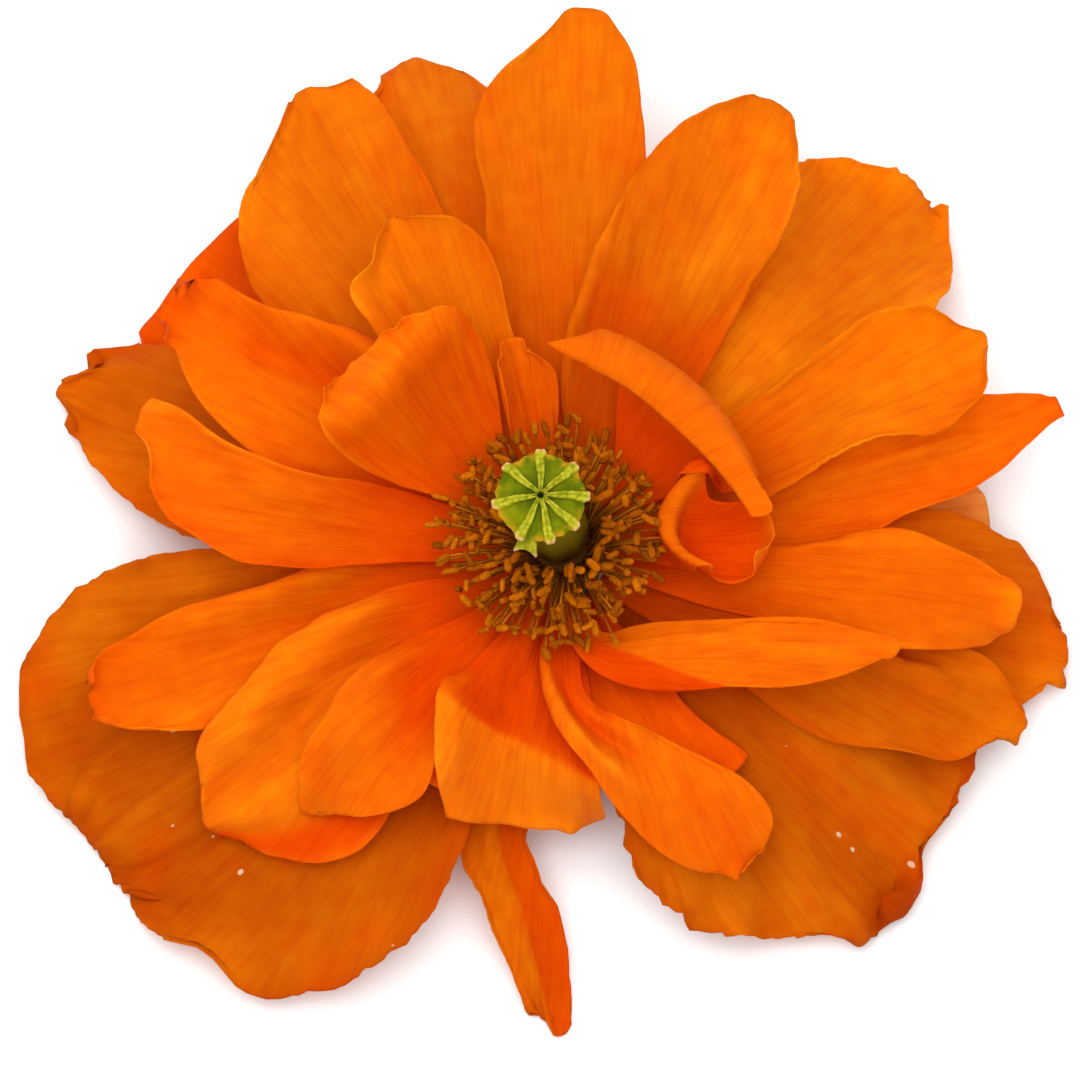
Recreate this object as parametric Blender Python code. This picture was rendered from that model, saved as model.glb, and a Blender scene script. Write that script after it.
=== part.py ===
"""A double poppy flower, picked and lying face up on a flat surface.

Metres, +Z up, with the surface at Z = 0 and the middle of the whole flower's outline over the origin.
The petals are free of each other and are fixed by their narrow claws round a small receptacle, which
carries the stamens and the seed capsule. Sizes in this file are in millimetres until a mesh is made, and
are measured from the receptacle's own axis until the last step, which moves the flower over the origin.
"""

import math
from collections import namedtuple

import bmesh
import bpy
import numpy as np
from mathutils import Matrix, Vector

MM = 0.001

# --- Driving dimensions, millimetres -----------------------------------------------------------------

CLEARANCE = 0.25  # between any two pieces that touch

STALK_RADIUS = 1.3
STALK_LENGTH = 3.4  # the cut stub below the flower, which reaches the surface
NECK_LENGTH = 0.7  # over which the stalk widens into the receptacle
RECEPTACLE_RADIUS = 2.5
RECEPTACLE_TOP = 9.2
RECEPTACLE_EDGE = 0.2  # taken off its upper edge
ROUND_SIDES = 24

PETAL_THICKNESS = 0.25
CLAW_START = RECEPTACLE_RADIUS + CLEARANCE
CLAW_HALF_WIDTH = 0.6
CLAW_HEIGHT = {"outer": 4.4, "middle": 5.2, "inner": 6.2}
SHAPED_BETWEEN = (0.1, 0.8)  # shares of a petal's length between which cup, tilt and ripple grow
MARGIN_RIPPLE = 0.2  # how far a petal's free margin waves up and down
RIPPLE_ACROSS = 5.0  # radians of that wave from a petal's middle line to its edge
RIPPLE_ALONG = 6.0  # radians of that wave from its claw to its tip

CAPSULE_BASE = RECEPTACLE_TOP + CLEARANCE
DISC_RIM_HEIGHT = 18.0
DISC_RADIUS = 2.6
# The capsule's outline from its foot to the middle of the disc, as shares of the disc's radius and of
# the height from the foot to the rim.
CAPSULE_OUTLINE = (
    (0.42, 0.0),
    (0.48, 0.11),
    (0.76, 0.3),
    (0.81, 0.5),
    (0.7, 0.82),
    (0.64, 0.92),
    (0.9, 0.95),
    (1.0, 0.98),
    (0.98, 1.01),
    (0.66, 1.05),
    (0.25, 1.07),
)
RAY_ROWS = 4  # how many of the outline's last points the rays stand on
RAYS = 8
RAY_STEPS = 6  # points round the disc from one ray to the next
RAY_REACH = 0.5  # past the rim
RAY_RISE = 0.35
CAPSULE_LEAN = (-1.2, 0.5)  # how far the disc's middle is off the axis
CAPSULE_BOW = 1.5  # over 1 keeps the capsule's foot upright and leans its top

COLLAR = (1.7, 2.4)  # inner and outer radius of the ring that the filaments grow from
COLLAR_BASE = RECEPTACLE_TOP + CLEARANCE
COLLAR_HEIGHT = 0.9
STAMENS_PER_TIER = 24
# Each tier's filament, from its end at the collar out to the anther: radius and height above the collar.
UPPER_TIER = ((3.3, 1.3), (4.5, 1.9), (5.6, 2.4))
LOWER_TIER = ((4.2, 0.2), (5.6, 0.6), (6.7, 1.0))
ROOT_INSET = 0.15  # from the edges of a face of the collar to the filament that grows out of it
FILAMENT_WIDTH = 0.28
ANTHER_NECK = 0.05
ANTHER_WIDTH = 0.6

# --- Colours, linear, and finish --------------------------------------------------------------------

PETAL_ROUGHNESS = 0.6
STALK_ROUGHNESS = 0.7
CAPSULE_ROUGHNESS = 0.55
ANTHER_ROUGHNESS = 0.7
OUTER_ORANGE = (0.72, 0.15, 0.005)
MIDDLE_ORANGE = (0.86, 0.19, 0.005)
INNER_ORANGE = (0.95, 0.22, 0.005)
STALK_GREEN = (0.12, 0.17, 0.03)
CAPSULE_GREEN = (0.2, 0.4, 0.03)
ANTHER_GOLD = (0.5, 0.2, 0.02)
ORANGES = {"outer": OUTER_ORANGE, "middle": MIDDLE_ORANGE, "inner": INNER_ORANGE}

# --- The petals, from the lowest to the topmost ------------------------------------------------------
# azimuth is the way a petal points, in degrees from +X. A row is a place along it: how far out and how
# far up its middle line is, how far its edges are to the left and to the right of the azimuth's line
# (looking out from the middle), and, where given, how much further out the left edge is than the right.
# cup lifts both edges above the middle, tilt lifts the left edge and sinks the right one, and bend turns
# the petal to its left, by so many degrees between two distances along it.

Petal = namedtuple("Petal", "name azimuth rows cup tilt bend", defaults=(0.5, 0.0, None))

PETALS = (
    Petal(
        "outer_petal_left_back_tucked",
        141,
        ((9, 4.2, 3.2, 3.2), (16, 3.4, 5.4, 5.4), (23, 2, 6, 6.8), (28, 0.6, 5.4, 7.2), (30.8, 0, 3.6, 6)),
    ),
    Petal(
        "outer_petal_left",
        163,
        (
            (9, 4.6, 3.2, 2.4),
            (16, 4, 5.2, 4.6),
            (22, 2.8, 5.2, 6),
            (28, 1.2, 2.8, 7.2),
            (31.5, 0.4, 0, 6.6),
            (33.3, 0, -2, 3),
        ),
    ),
    Petal(
        "outer_petal_back_left_narrow",
        106,
        (
            (9, 4.8, 2.6, 2.6),
            (16, 4.6, 4, 4),
            (24, 3.4, 5, 4.8),
            (30, 1.6, 4.6, 4.6),
            (34, 0.4, 2.6, 3.4),
            (35.9, 0, 1, 1.2),
        ),
    ),
    Petal(
        "outer_petal_front_narrow",
        268,
        (
            (8, 4.2, -0.2, 2.8),
            (13, 3.4, -0.8, 4.6),
            (18, 2.4, -1, 5),
            (22, 1.6, 0.7, 3.6),
            (25.5, 0.6, 1.1, 1.9),
            (28.9, 0, 1.6, -0.4),
        ),
        cup=0.6,
    ),
    Petal(
        "outer_petal_left_front_broad",
        216,
        (
            (7, 4.6, 3.6, 4.6),
            (12, 4.2, 8.6, 10),
            (17, 3.4, 12.4, 14),
            (23, 2.2, 13.6, 16.6),
            (28, 1, 12.4, 15.8),
            (32, 0.2, 6.6, 12.8),
            (34.2, 0, 2.4, 8.4),
        ),
        cup=1.2,
    ),
    Petal(
        "outer_petal_right_tucked",
        7,
        ((10, 4.2, 3, 3), (18, 3.4, 4, 4), (24, 2, 3.6, 3.4), (27, 1.2, 2.8, 1.8)),
    ),
    Petal(
        "outer_petal_right",
        -7,
        (
            (9, 4.8, 3.2, 2.6),
            (15, 4.2, 5, 4),
            (21, 3, 6, 4.6),
            (26, 1.6, 5.8, 5.2),
            (29.5, 0.5, 4.2, 4.4),
            (31.5, 0, 1.2, 2.4),
        ),
    ),
    Petal(
        "outer_petal_right_front_broad",
        -52,
        (
            (7, 4.6, 3.4, 3.4),
            (12, 4.2, 7, 6.2),
            (17, 3.4, 10.5, 7.4),
            (21, 2.2, 12.6, 7.8),
            (25, 1, 12, 5.7),
            (28, 0.3, 6.5, 2),
            (30, 0, 3.8, -1.5),
        ),
        cup=1,
    ),
    Petal(
        "outer_petal_back_left_broad",
        121,
        (
            (9, 5.8, 3, 2.6),
            (16, 7, 5.4, 4.4),
            (23, 7.4, 6.2, 5.4),
            (28.5, 7.4, 5.2, 5.6),
            (31.5, 7.2, 2.6, 4.7),
            (33.6, 7, -0.8, 3.6),
        ),
        cup=0.8,
    ),
    Petal(
        "outer_petal_back_tall",
        87,
        (
            (8, 6.8, 2.2, 1.8),
            (14, 8.2, 3.4, 2.6),
            (21, 9.5, 5.2, 3.6),
            (28, 10.5, 6, 3.3),
            (32, 10.8, 3.4, 2.5),
            (34.3, 11, 1.4, 1),
        ),
        cup=0.8,
    ),
    Petal(
        "outer_petal_back_right_broad",
        47,
        (
            (9, 4.6, 3, 3.2),
            (15, 4.4, 4.8, 5),
            (21, 3.6, 6, 6.2),
            (27, 2.2, 7.2, 5.8),
            (32, 0.6, 5.8, 3.6),
            (34.6, 0, 2.6, 0.4),
        ),
    ),
    Petal(
        "middle_petal_back_right",
        64,
        (
            (8, 7, 2.6, 1.4),
            (14, 8.3, 4.8, 1.8),
            (20, 9.5, 6.7, 2.4),
            (25, 10.2, 6, 3.2),
            (29, 10.8, 4.2, 2.2),
            (31.3, 11, 2, 0.6),
        ),
        cup=1,
        tilt=0.6,
    ),
    Petal(
        "middle_petal_right_front",
        -22,
        (
            (9, 5.4, 2, 2),
            (15, 5.6, 3, 3.4),
            (21, 5.4, 3.9, 3.6),
            (26, 4.8, 4.4, 2.2),
            (29, 4.2, 3.6, 0.4),
            (30.5, 4, 2.4, -1),
        ),
    ),
    Petal(
        "middle_petal_right_pointed",
        17,
        (
            (8, 6.3, 1.5, 2.8),
            (14, 7.2, 2, 3.6),
            (21, 8, 2.2, 3.9),
            (26, 8.5, 1.8, 3.3),
            (30, 8.8, 1, 1.5),
            (32.7, 9, 0.3, 0.4),
        ),
        cup=1.4,
        tilt=0.8,
    ),
    Petal(
        "middle_petal_right",
        -4,
        (
            (8, 6.6, 1.2, 2.2),
            (14, 7.8, 1.6, 3.6),
            (20, 8.2, 2.5, 4.6),
            (24, 7.4, 1.7, 4.5),
            (28, 5.6, 0.8, 3),
            (30, 4.6, 0.2, 1),
        ),
        cup=-0.6,
        tilt=1.2,
    ),
    Petal(
        "middle_petal_right_back",
        27,
        (
            (8, 7, 1.6, 1.8),
            (14, 8.5, 2.2, 2.4),
            (20, 9.8, 3.7, 3.2),
            (25, 10.6, 3.9, 4),
            (28, 11, 2.3, 2.8),
            (29.4, 11, 0.6, 1),
        ),
        cup=1.2,
    ),
    Petal(
        "middle_petal_front_right_tucked",
        -55,
        ((7, 6.4, -0.4, 2.6), (10, 6.8, 0.2, 3.4), (14, 6.8, 0.8, 4), (17.5, 6, 1.9, 2.6)),
    ),
    Petal(
        "middle_petal_left",
        197,
        (
            (8, 6.2, 2, 2.7),
            (14, 7, 3.4, 3.3),
            (20, 7, 4.2, 3.4),
            (25, 6, 4.1, 3.4),
            (29, 4.8, 2.6, 2.3),
            (30.7, 4.2, 0.6, 0.4),
        ),
        tilt=-0.8,
    ),
    Petal(
        "middle_petal_left_front",
        219,
        (
            (7, 6.4, 2.4, 3.8),
            (12, 7.4, 4.2, 5.4),
            (17, 7.4, 5.6, 6.3),
            (22, 6, 6.6, 5.3),
            (25.8, 4.4, 3.4, 4.2),
            (27.6, 3.6, 0.4, 2),
        ),
        tilt=-0.8,
    ),
    Petal(
        "middle_petal_front_left_tucked",
        240,
        ((7, 6.6, 1.8, 1.8), (11, 7.4, 3, 3), (14.5, 7, 3.6, 3), (17, 6.2, 3, 1.5)),
    ),
    Petal(
        "middle_petal_front_left_apron",
        232,
        (
            (8, 7, 1.6, 2.6),
            (12, 8.4, 1, 4.4),
            (15, 8.8, 2.2, 4.8),
            (18, 8, 3.2, 4.6),
            (20.5, 6.2, 1.6, 4.4),
            (23, 4.4, -1.2, 3.6),
        ),
    ),
    Petal(
        "middle_petal_front_apron",
        259,
        (
            (7, 7.2, 3, 3),
            (9.5, 8.4, 4.4, 4.6, 1),
            (12, 8.8, 5, 5.4, 3.2),
            (14, 7.6, 5.6, 5, 1.5),
            (16, 5.8, 5.6, 4.4, -1),
            (18, 4.2, 4.6, 3.9, -2.9),
        ),
        cup=0,
    ),
    Petal(
        "middle_petal_front_right",
        -72,
        (
            (6, 7.2, -0.6, 3.2),
            (10, 8.6, -1.4, 3.7),
            (14, 9, 3.2, 2.6),
            (18, 8.4, 5.9, 1.1),
            (21, 7.2, 7, -0.4),
            (22.9, 6.2, 4.6, -2.8),
        ),
        cup=-0.5,
    ),
    Petal(
        "middle_petal_left_back",
        150,
        (
            (8, 6.8, 2, 2),
            (13, 8, 3.4, 4.4),
            (18, 9, 4, 5.5),
            (23, 10, 3.4, 4.1),
            (27, 10.8, 1.4, 3.2),
            (29.3, 11, -0.2, 1.8),
        ),
        tilt=-1.2,
    ),
    Petal(
        "middle_petal_left_cupped",
        169,
        (
            (8, 7.2, 2, 1.8),
            (12, 8.4, 3.4, 1.8),
            (17, 9.4, 4.6, 1.6),
            (21, 10, 4.3, 2.2),
            (25, 10.4, 1.8, 3.7),
            (27.2, 10.6, -1.4, 4),
        ),
        cup=1.2,
    ),
    Petal(
        "inner_petal_back_left",
        117,
        (
            (8, 8, 1.8, 1.6),
            (13, 9.4, 3.2, 3.2),
            (17, 11, 4.4, 4.2),
            (20, 12.3, 4.6, 3.6),
            (22, 13, 1.8, 2),
            (22.7, 13.2, 0.6, 0.4),
        ),
        cup=1.4,
    ),
    Petal(
        "inner_petal_left_bowl",
        136,
        (
            (7, 7.6, 2.4, 2.4),
            (10, 9.2, 4.6, 4.6),
            (13, 11.4, 6.2, 5.4),
            (15, 13, 5.9, 4.2),
            (16.1, 14, 3, 1),
        ),
        cup=1.6,
    ),
    Petal(
        "inner_petal_back",
        103,
        ((7, 7.4, 1, 1), (10, 8.8, 1.6, 1.6), (13, 10.6, 1.4, 1.4), (14.8, 11.6, 0.7, 0.7)),
        cup=0.8,
    ),
    Petal(
        "inner_petal_right_strip",
        -77,
        ((6, 7.2, 1, 1), (10, 9, 2, 2.2), (15, 10.4, 2, 2.4), (20.5, 11, 1.8, 2.2), (26, 11, 0.6, 0.6)),
        cup=-0.6,
        bend=(77, 4.4, 9.4),
    ),
    Petal(
        "inner_petal_right_spoon",
        3,
        (
            (6.6, 7.4, 1, 1),
            (7.4, 10, 2.4, 2.4),
            (8.8, 9.8, 3.2, 3.2),
            (10.8, 9.8, 3.4, 3.4),
            (12.5, 11, 2.6, 2.6),
            (13.2, 12.4, 1.2, 1.2),
        ),
        cup=2.2,
    ),
    Petal(
        "inner_petal_right_curled",
        45,
        (
            (7, 7.6, 2.2, 2.2),
            (8, 11, 6, 6),
            (8.7, 14.2, 8.6, 9),
            (10.2, 14.8, 7.6, 8.2),
            (11.6, 13.8, 3.5, 4),
        ),
        cup=0,
    ),
)

# --- Petal surfaces ----------------------------------------------------------------------------------

ROWS_ALONG = 11
ROW_CROWDING = 1.2  # over 1 sets the rows closer at the claw than at the tip
COLUMNS = 7
COLUMNS_BROAD = 9
BROAD_HALF_WIDTH = 5.0

FIELD_REACH = 40.0  # half the side of the square height field
FIELD_STEP = 0.25
SAMPLES_PER_CELL = 14
STEEPEST_COSINE = 0.35
LIFT_SPREAD = 3  # passes that soften the edges of a lifted stretch


def smooth_rows(rows, count):
    """Reads a smooth curve through the rows at count even steps along the petal."""
    rows = np.array([tuple(row) + (0.0,) * (5 - len(row)) for row in rows], float)
    steps = np.linalg.norm(np.diff(rows[:, :2], axis=0), axis=1)
    knots = np.concatenate([[0.0], np.cumsum(steps)])
    slopes = np.gradient(rows, knots, axis=0)
    places = knots[-1] * np.linspace(0.0, 1.0, count) ** ROW_CROWDING
    index = np.clip(np.searchsorted(knots, places, side="right") - 1, 0, len(knots) - 2)
    width = (knots[index + 1] - knots[index])[:, None]
    t = (places[:, None] - knots[index][:, None]) / width
    start, end = rows[index], rows[index + 1]
    return (
        start * (1 + 2 * t) * (1 - t) ** 2
        + end * t * t * (3 - 2 * t)
        + slopes[index] * width * t * (1 - t) ** 2
        - slopes[index + 1] * width * t * t * (1 - t)
    )


def smooth_step(values, start, end):
    t = np.clip((values - start) / (end - start), 0.0, 1.0)
    return t * t * (3 - 2 * t)


def bent(out, side, bend):
    """Turns the part of a petal past bend's start to the left, smoothly, in plan."""
    angle, start, end = bend
    line = np.linspace(0.0, out.max() + 1.0, 200)
    turn = np.radians(angle) * smooth_step(line, start, end)
    step = np.diff(line, prepend=0.0)
    x = np.interp(out, line, np.cumsum(np.cos(turn) * step))
    y = np.interp(out, line, np.cumsum(np.sin(turn) * step))
    heading = np.interp(out, line, turn)
    return x - side * np.sin(heading), y + side * np.cos(heading)


def petal_surface(petal, along, across):
    """The petal's middle surface as an (along, across, 3) grid, in millimetres."""
    whorl = petal.name.split("_")[0]
    claw = (CLAW_START, CLAW_HEIGHT[whorl], CLAW_HALF_WIDTH, CLAW_HALF_WIDTH)
    out, up, left, right, skew = smooth_rows((claw, *petal.rows), along).T[:, :, None]
    v = np.linspace(1.0, -1.0, across)[None, :]
    share = np.linspace(0.0, 1.0, along)[:, None]
    side = (left - right) / 2 + v * (left + right) / 2
    out = out + skew * v / 2
    wave = np.sin(RIPPLE_ACROSS * v + RIPPLE_ALONG * share + petal.azimuth) * MARGIN_RIPPLE
    shaped = smooth_step(share, *SHAPED_BETWEEN)
    up = up + shaped * (petal.cup * v * v + petal.tilt * v + wave * v * v)
    if petal.bend:
        out, side = bent(out, side, petal.bend)
    turn = math.radians(petal.azimuth)
    x = out * math.cos(turn) - side * math.sin(turn)
    y = out * math.sin(turn) + side * math.cos(turn)
    return np.stack([x, y, up], axis=2)


# --- Keeping the petals clear of each other ----------------------------------------------------------


def sampled(grid, count):
    """Points on the grid's triangles, as (rows, columns, samples, ...), split along the same diagonals."""
    a, b = [w.reshape(-1) for w in np.meshgrid(*[np.linspace(0.0, 1.0, count)] * 2)]
    a, b = a[:, None], b[:, None]
    p00, p10, p01, p11 = [
        corner[:, :, None]
        for corner in (grid[:-1, :-1], grid[1:, :-1], grid[:-1, 1:], grid[1:, 1:])
    ]
    lower = p00 + (p10 - p00) * a + (p11 - p10) * b
    upper = p00 + (p11 - p01) * a + (p01 - p00) * b
    return np.where(a >= b, lower, upper)


def upright_half_thickness(grid):
    """Half of the petal's thickness measured straight up, for each cell of the grid."""
    normal = np.cross(grid[1:, 1:] - grid[:-1, :-1], grid[1:, :-1] - grid[:-1, 1:])
    cosine = np.abs(normal[:, :, 2]) / np.maximum(np.linalg.norm(normal, axis=2), 1e-9)
    return PETAL_THICKNESS / 2 / np.clip(cosine, STEEPEST_COSINE, 1.0)


def field_cells(points):
    cells = np.round((points[..., :2] + FIELD_REACH) / FIELD_STEP).astype(int)
    return cells[..., 0], cells[..., 1]


def widened(field):
    """The field with each cell raised to the highest of its neighbours."""
    result = field.copy()
    for axis in (0, 1):
        result = np.maximum(result, np.maximum(np.roll(result, 1, axis), np.roll(result, -1, axis)))
    return result


def lifted_clear(grid, field):
    """Raises the grid where it is needed to pass over everything in the height field."""
    points = sampled(grid, SAMPLES_PER_CELL)
    needed = widened(field)[field_cells(points)] + CLEARANCE - points[..., 2]
    needed = np.maximum(needed.max(axis=2) + upright_half_thickness(grid), 0.0)
    lift = np.zeros(grid.shape[:2])
    for rows in (slice(None, -1), slice(1, None)):
        for columns in (slice(None, -1), slice(1, None)):
            lift[rows, columns] = np.maximum(lift[rows, columns], needed)
    for _ in range(LIFT_SPREAD):
        around = np.pad(lift, 1, mode="edge")
        mean = (around[:-2, 1:-1] + around[2:, 1:-1] + around[1:-1, :-2] + around[1:-1, 2:]) / 4
        lift = np.maximum(lift, mean)
    grid = grid.copy()
    grid[:, :, 2] += lift
    return grid


def laid_on(field, grid):
    """Adds the top of the petal to the height field."""
    points = sampled(grid, SAMPLES_PER_CELL)
    tops = points[..., 2] + upright_half_thickness(grid)[:, :, None]
    np.maximum.at(field, field_cells(points), tops)


# --- Meshes ------------------------------------------------------------------------------------------


def add_object(name, points, faces, colour, roughness):
    mesh = bpy.data.meshes.new(name)
    mesh.from_pydata([[c * MM for c in p] for p in points], [], [tuple(f) for f in faces])
    mesh.validate()
    material = bpy.data.materials.new(name)
    material.use_nodes = True
    shader = material.node_tree.nodes["Principled BSDF"]
    shader.inputs["Base Color"].default_value = (*colour, 1.0)
    shader.inputs["Roughness"].default_value = roughness
    shader.inputs["Metallic"].default_value = 0.0
    mesh.materials.append(material)
    bpy.context.scene.collection.objects.link(bpy.data.objects.new(name, mesh))


def grid_normals(grid):
    along = np.gradient(grid, axis=0)
    across = np.gradient(grid, axis=1)
    normals = np.cross(across, along)
    return normals / np.linalg.norm(normals, axis=2, keepdims=True)


def sheet_solid(grid):
    """Points and triangles of the closed sheet that has the grid as its middle surface."""
    rows, columns = grid.shape[:2]
    offset = grid_normals(grid) * PETAL_THICKNESS / 2
    points = np.concatenate([(grid + offset).reshape(-1, 3), (grid - offset).reshape(-1, 3)])
    index = np.arange(rows * columns).reshape(rows, columns)
    under = rows * columns
    faces = []
    for i in range(rows - 1):
        for j in range(columns - 1):
            a, b, c, d = index[i, j], index[i + 1, j], index[i + 1, j + 1], index[i, j + 1]
            faces += [(a, c, b), (a, d, c)]
            faces += [(under + a, under + b, under + c), (under + a, under + c, under + d)]
    rim = [*index[0, :], *index[1:, -1], *index[-1, -2::-1], *index[-2:0:-1, 0]]
    for a, b in zip(rim, rim[1:] + rim[:1]):
        faces += [(a, under + a, b), (b, under + a, under + b)]
    return points, faces


def add_petals():
    field = np.full((int(2 * FIELD_REACH / FIELD_STEP) + 1,) * 2, -CLEARANCE)
    for petal in PETALS:
        widest = max(row[2] + row[3] for row in petal.rows) / 2
        columns = COLUMNS_BROAD if widest > BROAD_HALF_WIDTH else COLUMNS
        grid = lifted_clear(petal_surface(petal, ROWS_ALONG, columns), field)
        laid_on(field, grid)
        points, faces = sheet_solid(grid)
        colour = ORANGES[petal.name.split("_")[0]]
        add_object(petal.name, points, faces, colour, PETAL_ROUGHNESS)


# --- Receptacle, capsule and stamens -----------------------------------------------------------------


def ringed_solid(rings):
    """Points and faces of a closed solid through rings of points, from the lowest ring to the topmost."""
    rings = np.array(rings)
    count, around = rings.shape[:2]
    index = np.arange(count * around).reshape(count, around)
    ahead = np.roll(index, -1, axis=1)
    faces = [index[0, ::-1], index[-1]]
    for lower in range(count - 1):
        corners = (index[lower], ahead[lower], ahead[lower + 1], index[lower + 1])
        faces += list(np.stack(corners, axis=1))
    return rings.reshape(-1, 3), faces


def circle(radius, height, around):
    turns = np.linspace(0.0, 2 * math.pi, around, endpoint=False)
    return np.stack([radius * np.cos(turns), radius * np.sin(turns), np.full(around, height)], axis=1)


def add_receptacle():
    outline = (
        (STALK_RADIUS, 0.0),
        (STALK_RADIUS, STALK_LENGTH),
        (RECEPTACLE_RADIUS, STALK_LENGTH + NECK_LENGTH),
        (RECEPTACLE_RADIUS, RECEPTACLE_TOP - RECEPTACLE_EDGE),
        (RECEPTACLE_RADIUS - RECEPTACLE_EDGE, RECEPTACLE_TOP),
    )
    points, faces = ringed_solid([circle(radius, height, ROUND_SIDES) for radius, height in outline])
    add_object("receptacle_with_cut_stalk", points, faces, STALK_GREEN, STALK_ROUGHNESS)


def add_capsule():
    tall = DISC_RIM_HEIGHT - CAPSULE_BASE
    around = RAYS * RAY_STEPS
    on_ray = np.arange(around) % RAY_STEPS == 0
    rings = []
    for number, (radius_share, height_share) in enumerate(CAPSULE_OUTLINE):
        ring = circle(radius_share * DISC_RADIUS, CAPSULE_BASE + height_share * tall, around)
        if number >= len(CAPSULE_OUTLINE) - RAY_ROWS:
            ring[on_ray, :2] *= 1 + RAY_REACH / DISC_RADIUS
            ring[on_ray, 2] += RAY_RISE
        ring[:, :2] += np.array(CAPSULE_LEAN) * min(height_share, 1.0) ** CAPSULE_BOW
        rings.append(ring)
    points, faces = ringed_solid(rings)
    add_object("seed_capsule", points, faces, CAPSULE_GREEN, CAPSULE_ROUGHNESS)


def placed_section(face, middle, outward, width):
    """Moves a square face's corners to a square of that width, facing outward, round the middle."""
    sideways = Vector((0, 0, 1)).cross(outward).normalized()
    upward = outward.cross(sideways)
    start = face.calc_center_median()
    old_normal = face.normal.copy()
    old_upward = old_normal.cross(sideways)
    for vertex in face.verts:
        arm = vertex.co - start
        across = math.copysign(width / 2, arm.dot(sideways))
        along = math.copysign(width / 2, arm.dot(old_upward))
        vertex.co = middle + sideways * across + upward * along


def grow_stamen(bm, face, tier, turn):
    """Extrudes a face of the collar into a filament and its anther."""
    bmesh.ops.inset_individual(bm, faces=[face], thickness=ROOT_INSET)
    filament_tip, anther_foot, anther_tip = [
        Vector((radius * math.cos(turn), radius * math.sin(turn), COLLAR_BASE + COLLAR_HEIGHT + rise))
        for radius, rise in tier
    ]
    outward = (anther_tip - anther_foot).normalized()
    sections = (
        (filament_tip, FILAMENT_WIDTH),
        (anther_foot - outward * ANTHER_NECK, FILAMENT_WIDTH),
        (anther_foot, ANTHER_WIDTH),
        (anther_tip, ANTHER_WIDTH),
    )
    for middle, width in sections:
        face.normal_update()
        face = bmesh.ops.extrude_discrete_faces(bm, faces=[face])["faces"][0]
        face.normal_update()
        placed_section(face, middle, outward, width)


def add_stamens():
    bm = bmesh.new()
    inner, outer = COLLAR
    top = COLLAR_BASE + COLLAR_HEIGHT
    corners = ((inner, COLLAR_BASE), (outer, COLLAR_BASE), (outer, top), (inner, top))
    rings = [
        [bm.verts.new(point) for point in circle(radius, height, STAMENS_PER_TIER)]
        for radius, height in corners
    ]
    step = 2 * math.pi / STAMENS_PER_TIER
    growing = []
    for side in range(4):
        ring, following = rings[side], rings[(side + 1) % 4]
        for number in range(STAMENS_PER_TIER):
            after = (number + 1) % STAMENS_PER_TIER
            face = bm.faces.new((ring[number], ring[after], following[after], following[number]))
            if side == 1:
                growing.append((face, LOWER_TIER, (number + 0.5) * step))
            if side == 2:
                growing.append((face, UPPER_TIER, (number + 1.0) * step))
    bm.normal_update()
    for face, tier, turn in growing:
        grow_stamen(bm, face, tier, turn)
    mesh = bpy.data.meshes.new("stamens")
    bm.to_mesh(mesh)
    bm.free()
    points = [tuple(vertex.co) for vertex in mesh.vertices]
    faces = [tuple(polygon.vertices) for polygon in mesh.polygons]
    bpy.data.meshes.remove(mesh)
    add_object("stamens", points, faces, ANTHER_GOLD, ANTHER_ROUGHNESS)


def centre_over_origin():
    """Moves the whole flower so that the middle of its outline is over the origin."""
    meshes = [item.data for item in bpy.data.objects]
    spots = np.array([vertex.co for mesh in meshes for vertex in mesh.vertices])
    middle_x, middle_y, _ = (spots.min(axis=0) + spots.max(axis=0)) / 2
    for mesh in meshes:
        mesh.transform(Matrix.Translation((-middle_x, -middle_y, 0.0)))


for item in list(bpy.data.objects):
    bpy.data.objects.remove(item, do_unlink=True)
add_receptacle()
add_petals()
add_stamens()
add_capsule()
centre_over_origin()
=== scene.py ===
"""Looks of a double poppy flower that lies face up on a pale floor.

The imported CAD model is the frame. Each petal here is the CAD petal's own surface read at a finer step,
with the wrinkles, frayed margins and veins of a real one. Sizes are in millimetres, measured from the axis
of the receptacle, until a mesh is made.
"""

import math
from collections import namedtuple

import bpy
import numpy as np
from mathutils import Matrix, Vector


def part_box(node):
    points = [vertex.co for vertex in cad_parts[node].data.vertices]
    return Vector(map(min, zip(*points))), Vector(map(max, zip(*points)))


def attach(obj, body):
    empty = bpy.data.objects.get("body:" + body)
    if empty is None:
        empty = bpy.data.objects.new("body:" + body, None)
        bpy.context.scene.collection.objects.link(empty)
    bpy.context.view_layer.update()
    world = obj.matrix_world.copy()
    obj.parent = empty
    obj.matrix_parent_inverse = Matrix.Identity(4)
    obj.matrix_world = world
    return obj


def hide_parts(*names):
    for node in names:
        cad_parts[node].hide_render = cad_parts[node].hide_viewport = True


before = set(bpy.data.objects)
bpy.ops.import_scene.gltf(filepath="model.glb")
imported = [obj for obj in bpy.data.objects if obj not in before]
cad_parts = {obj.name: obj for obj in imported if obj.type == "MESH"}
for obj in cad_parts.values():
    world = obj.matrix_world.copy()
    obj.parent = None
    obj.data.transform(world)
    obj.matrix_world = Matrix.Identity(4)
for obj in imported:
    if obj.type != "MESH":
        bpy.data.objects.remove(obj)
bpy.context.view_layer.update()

MM = 0.001
STALK_LOW, STALK_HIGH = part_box("receptacle_with_cut_stalk")
AXIS = ((STALK_LOW + STALK_HIGH) / 2).to_2d()

# --- Sizes shared with the CAD, millimetres ---

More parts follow.
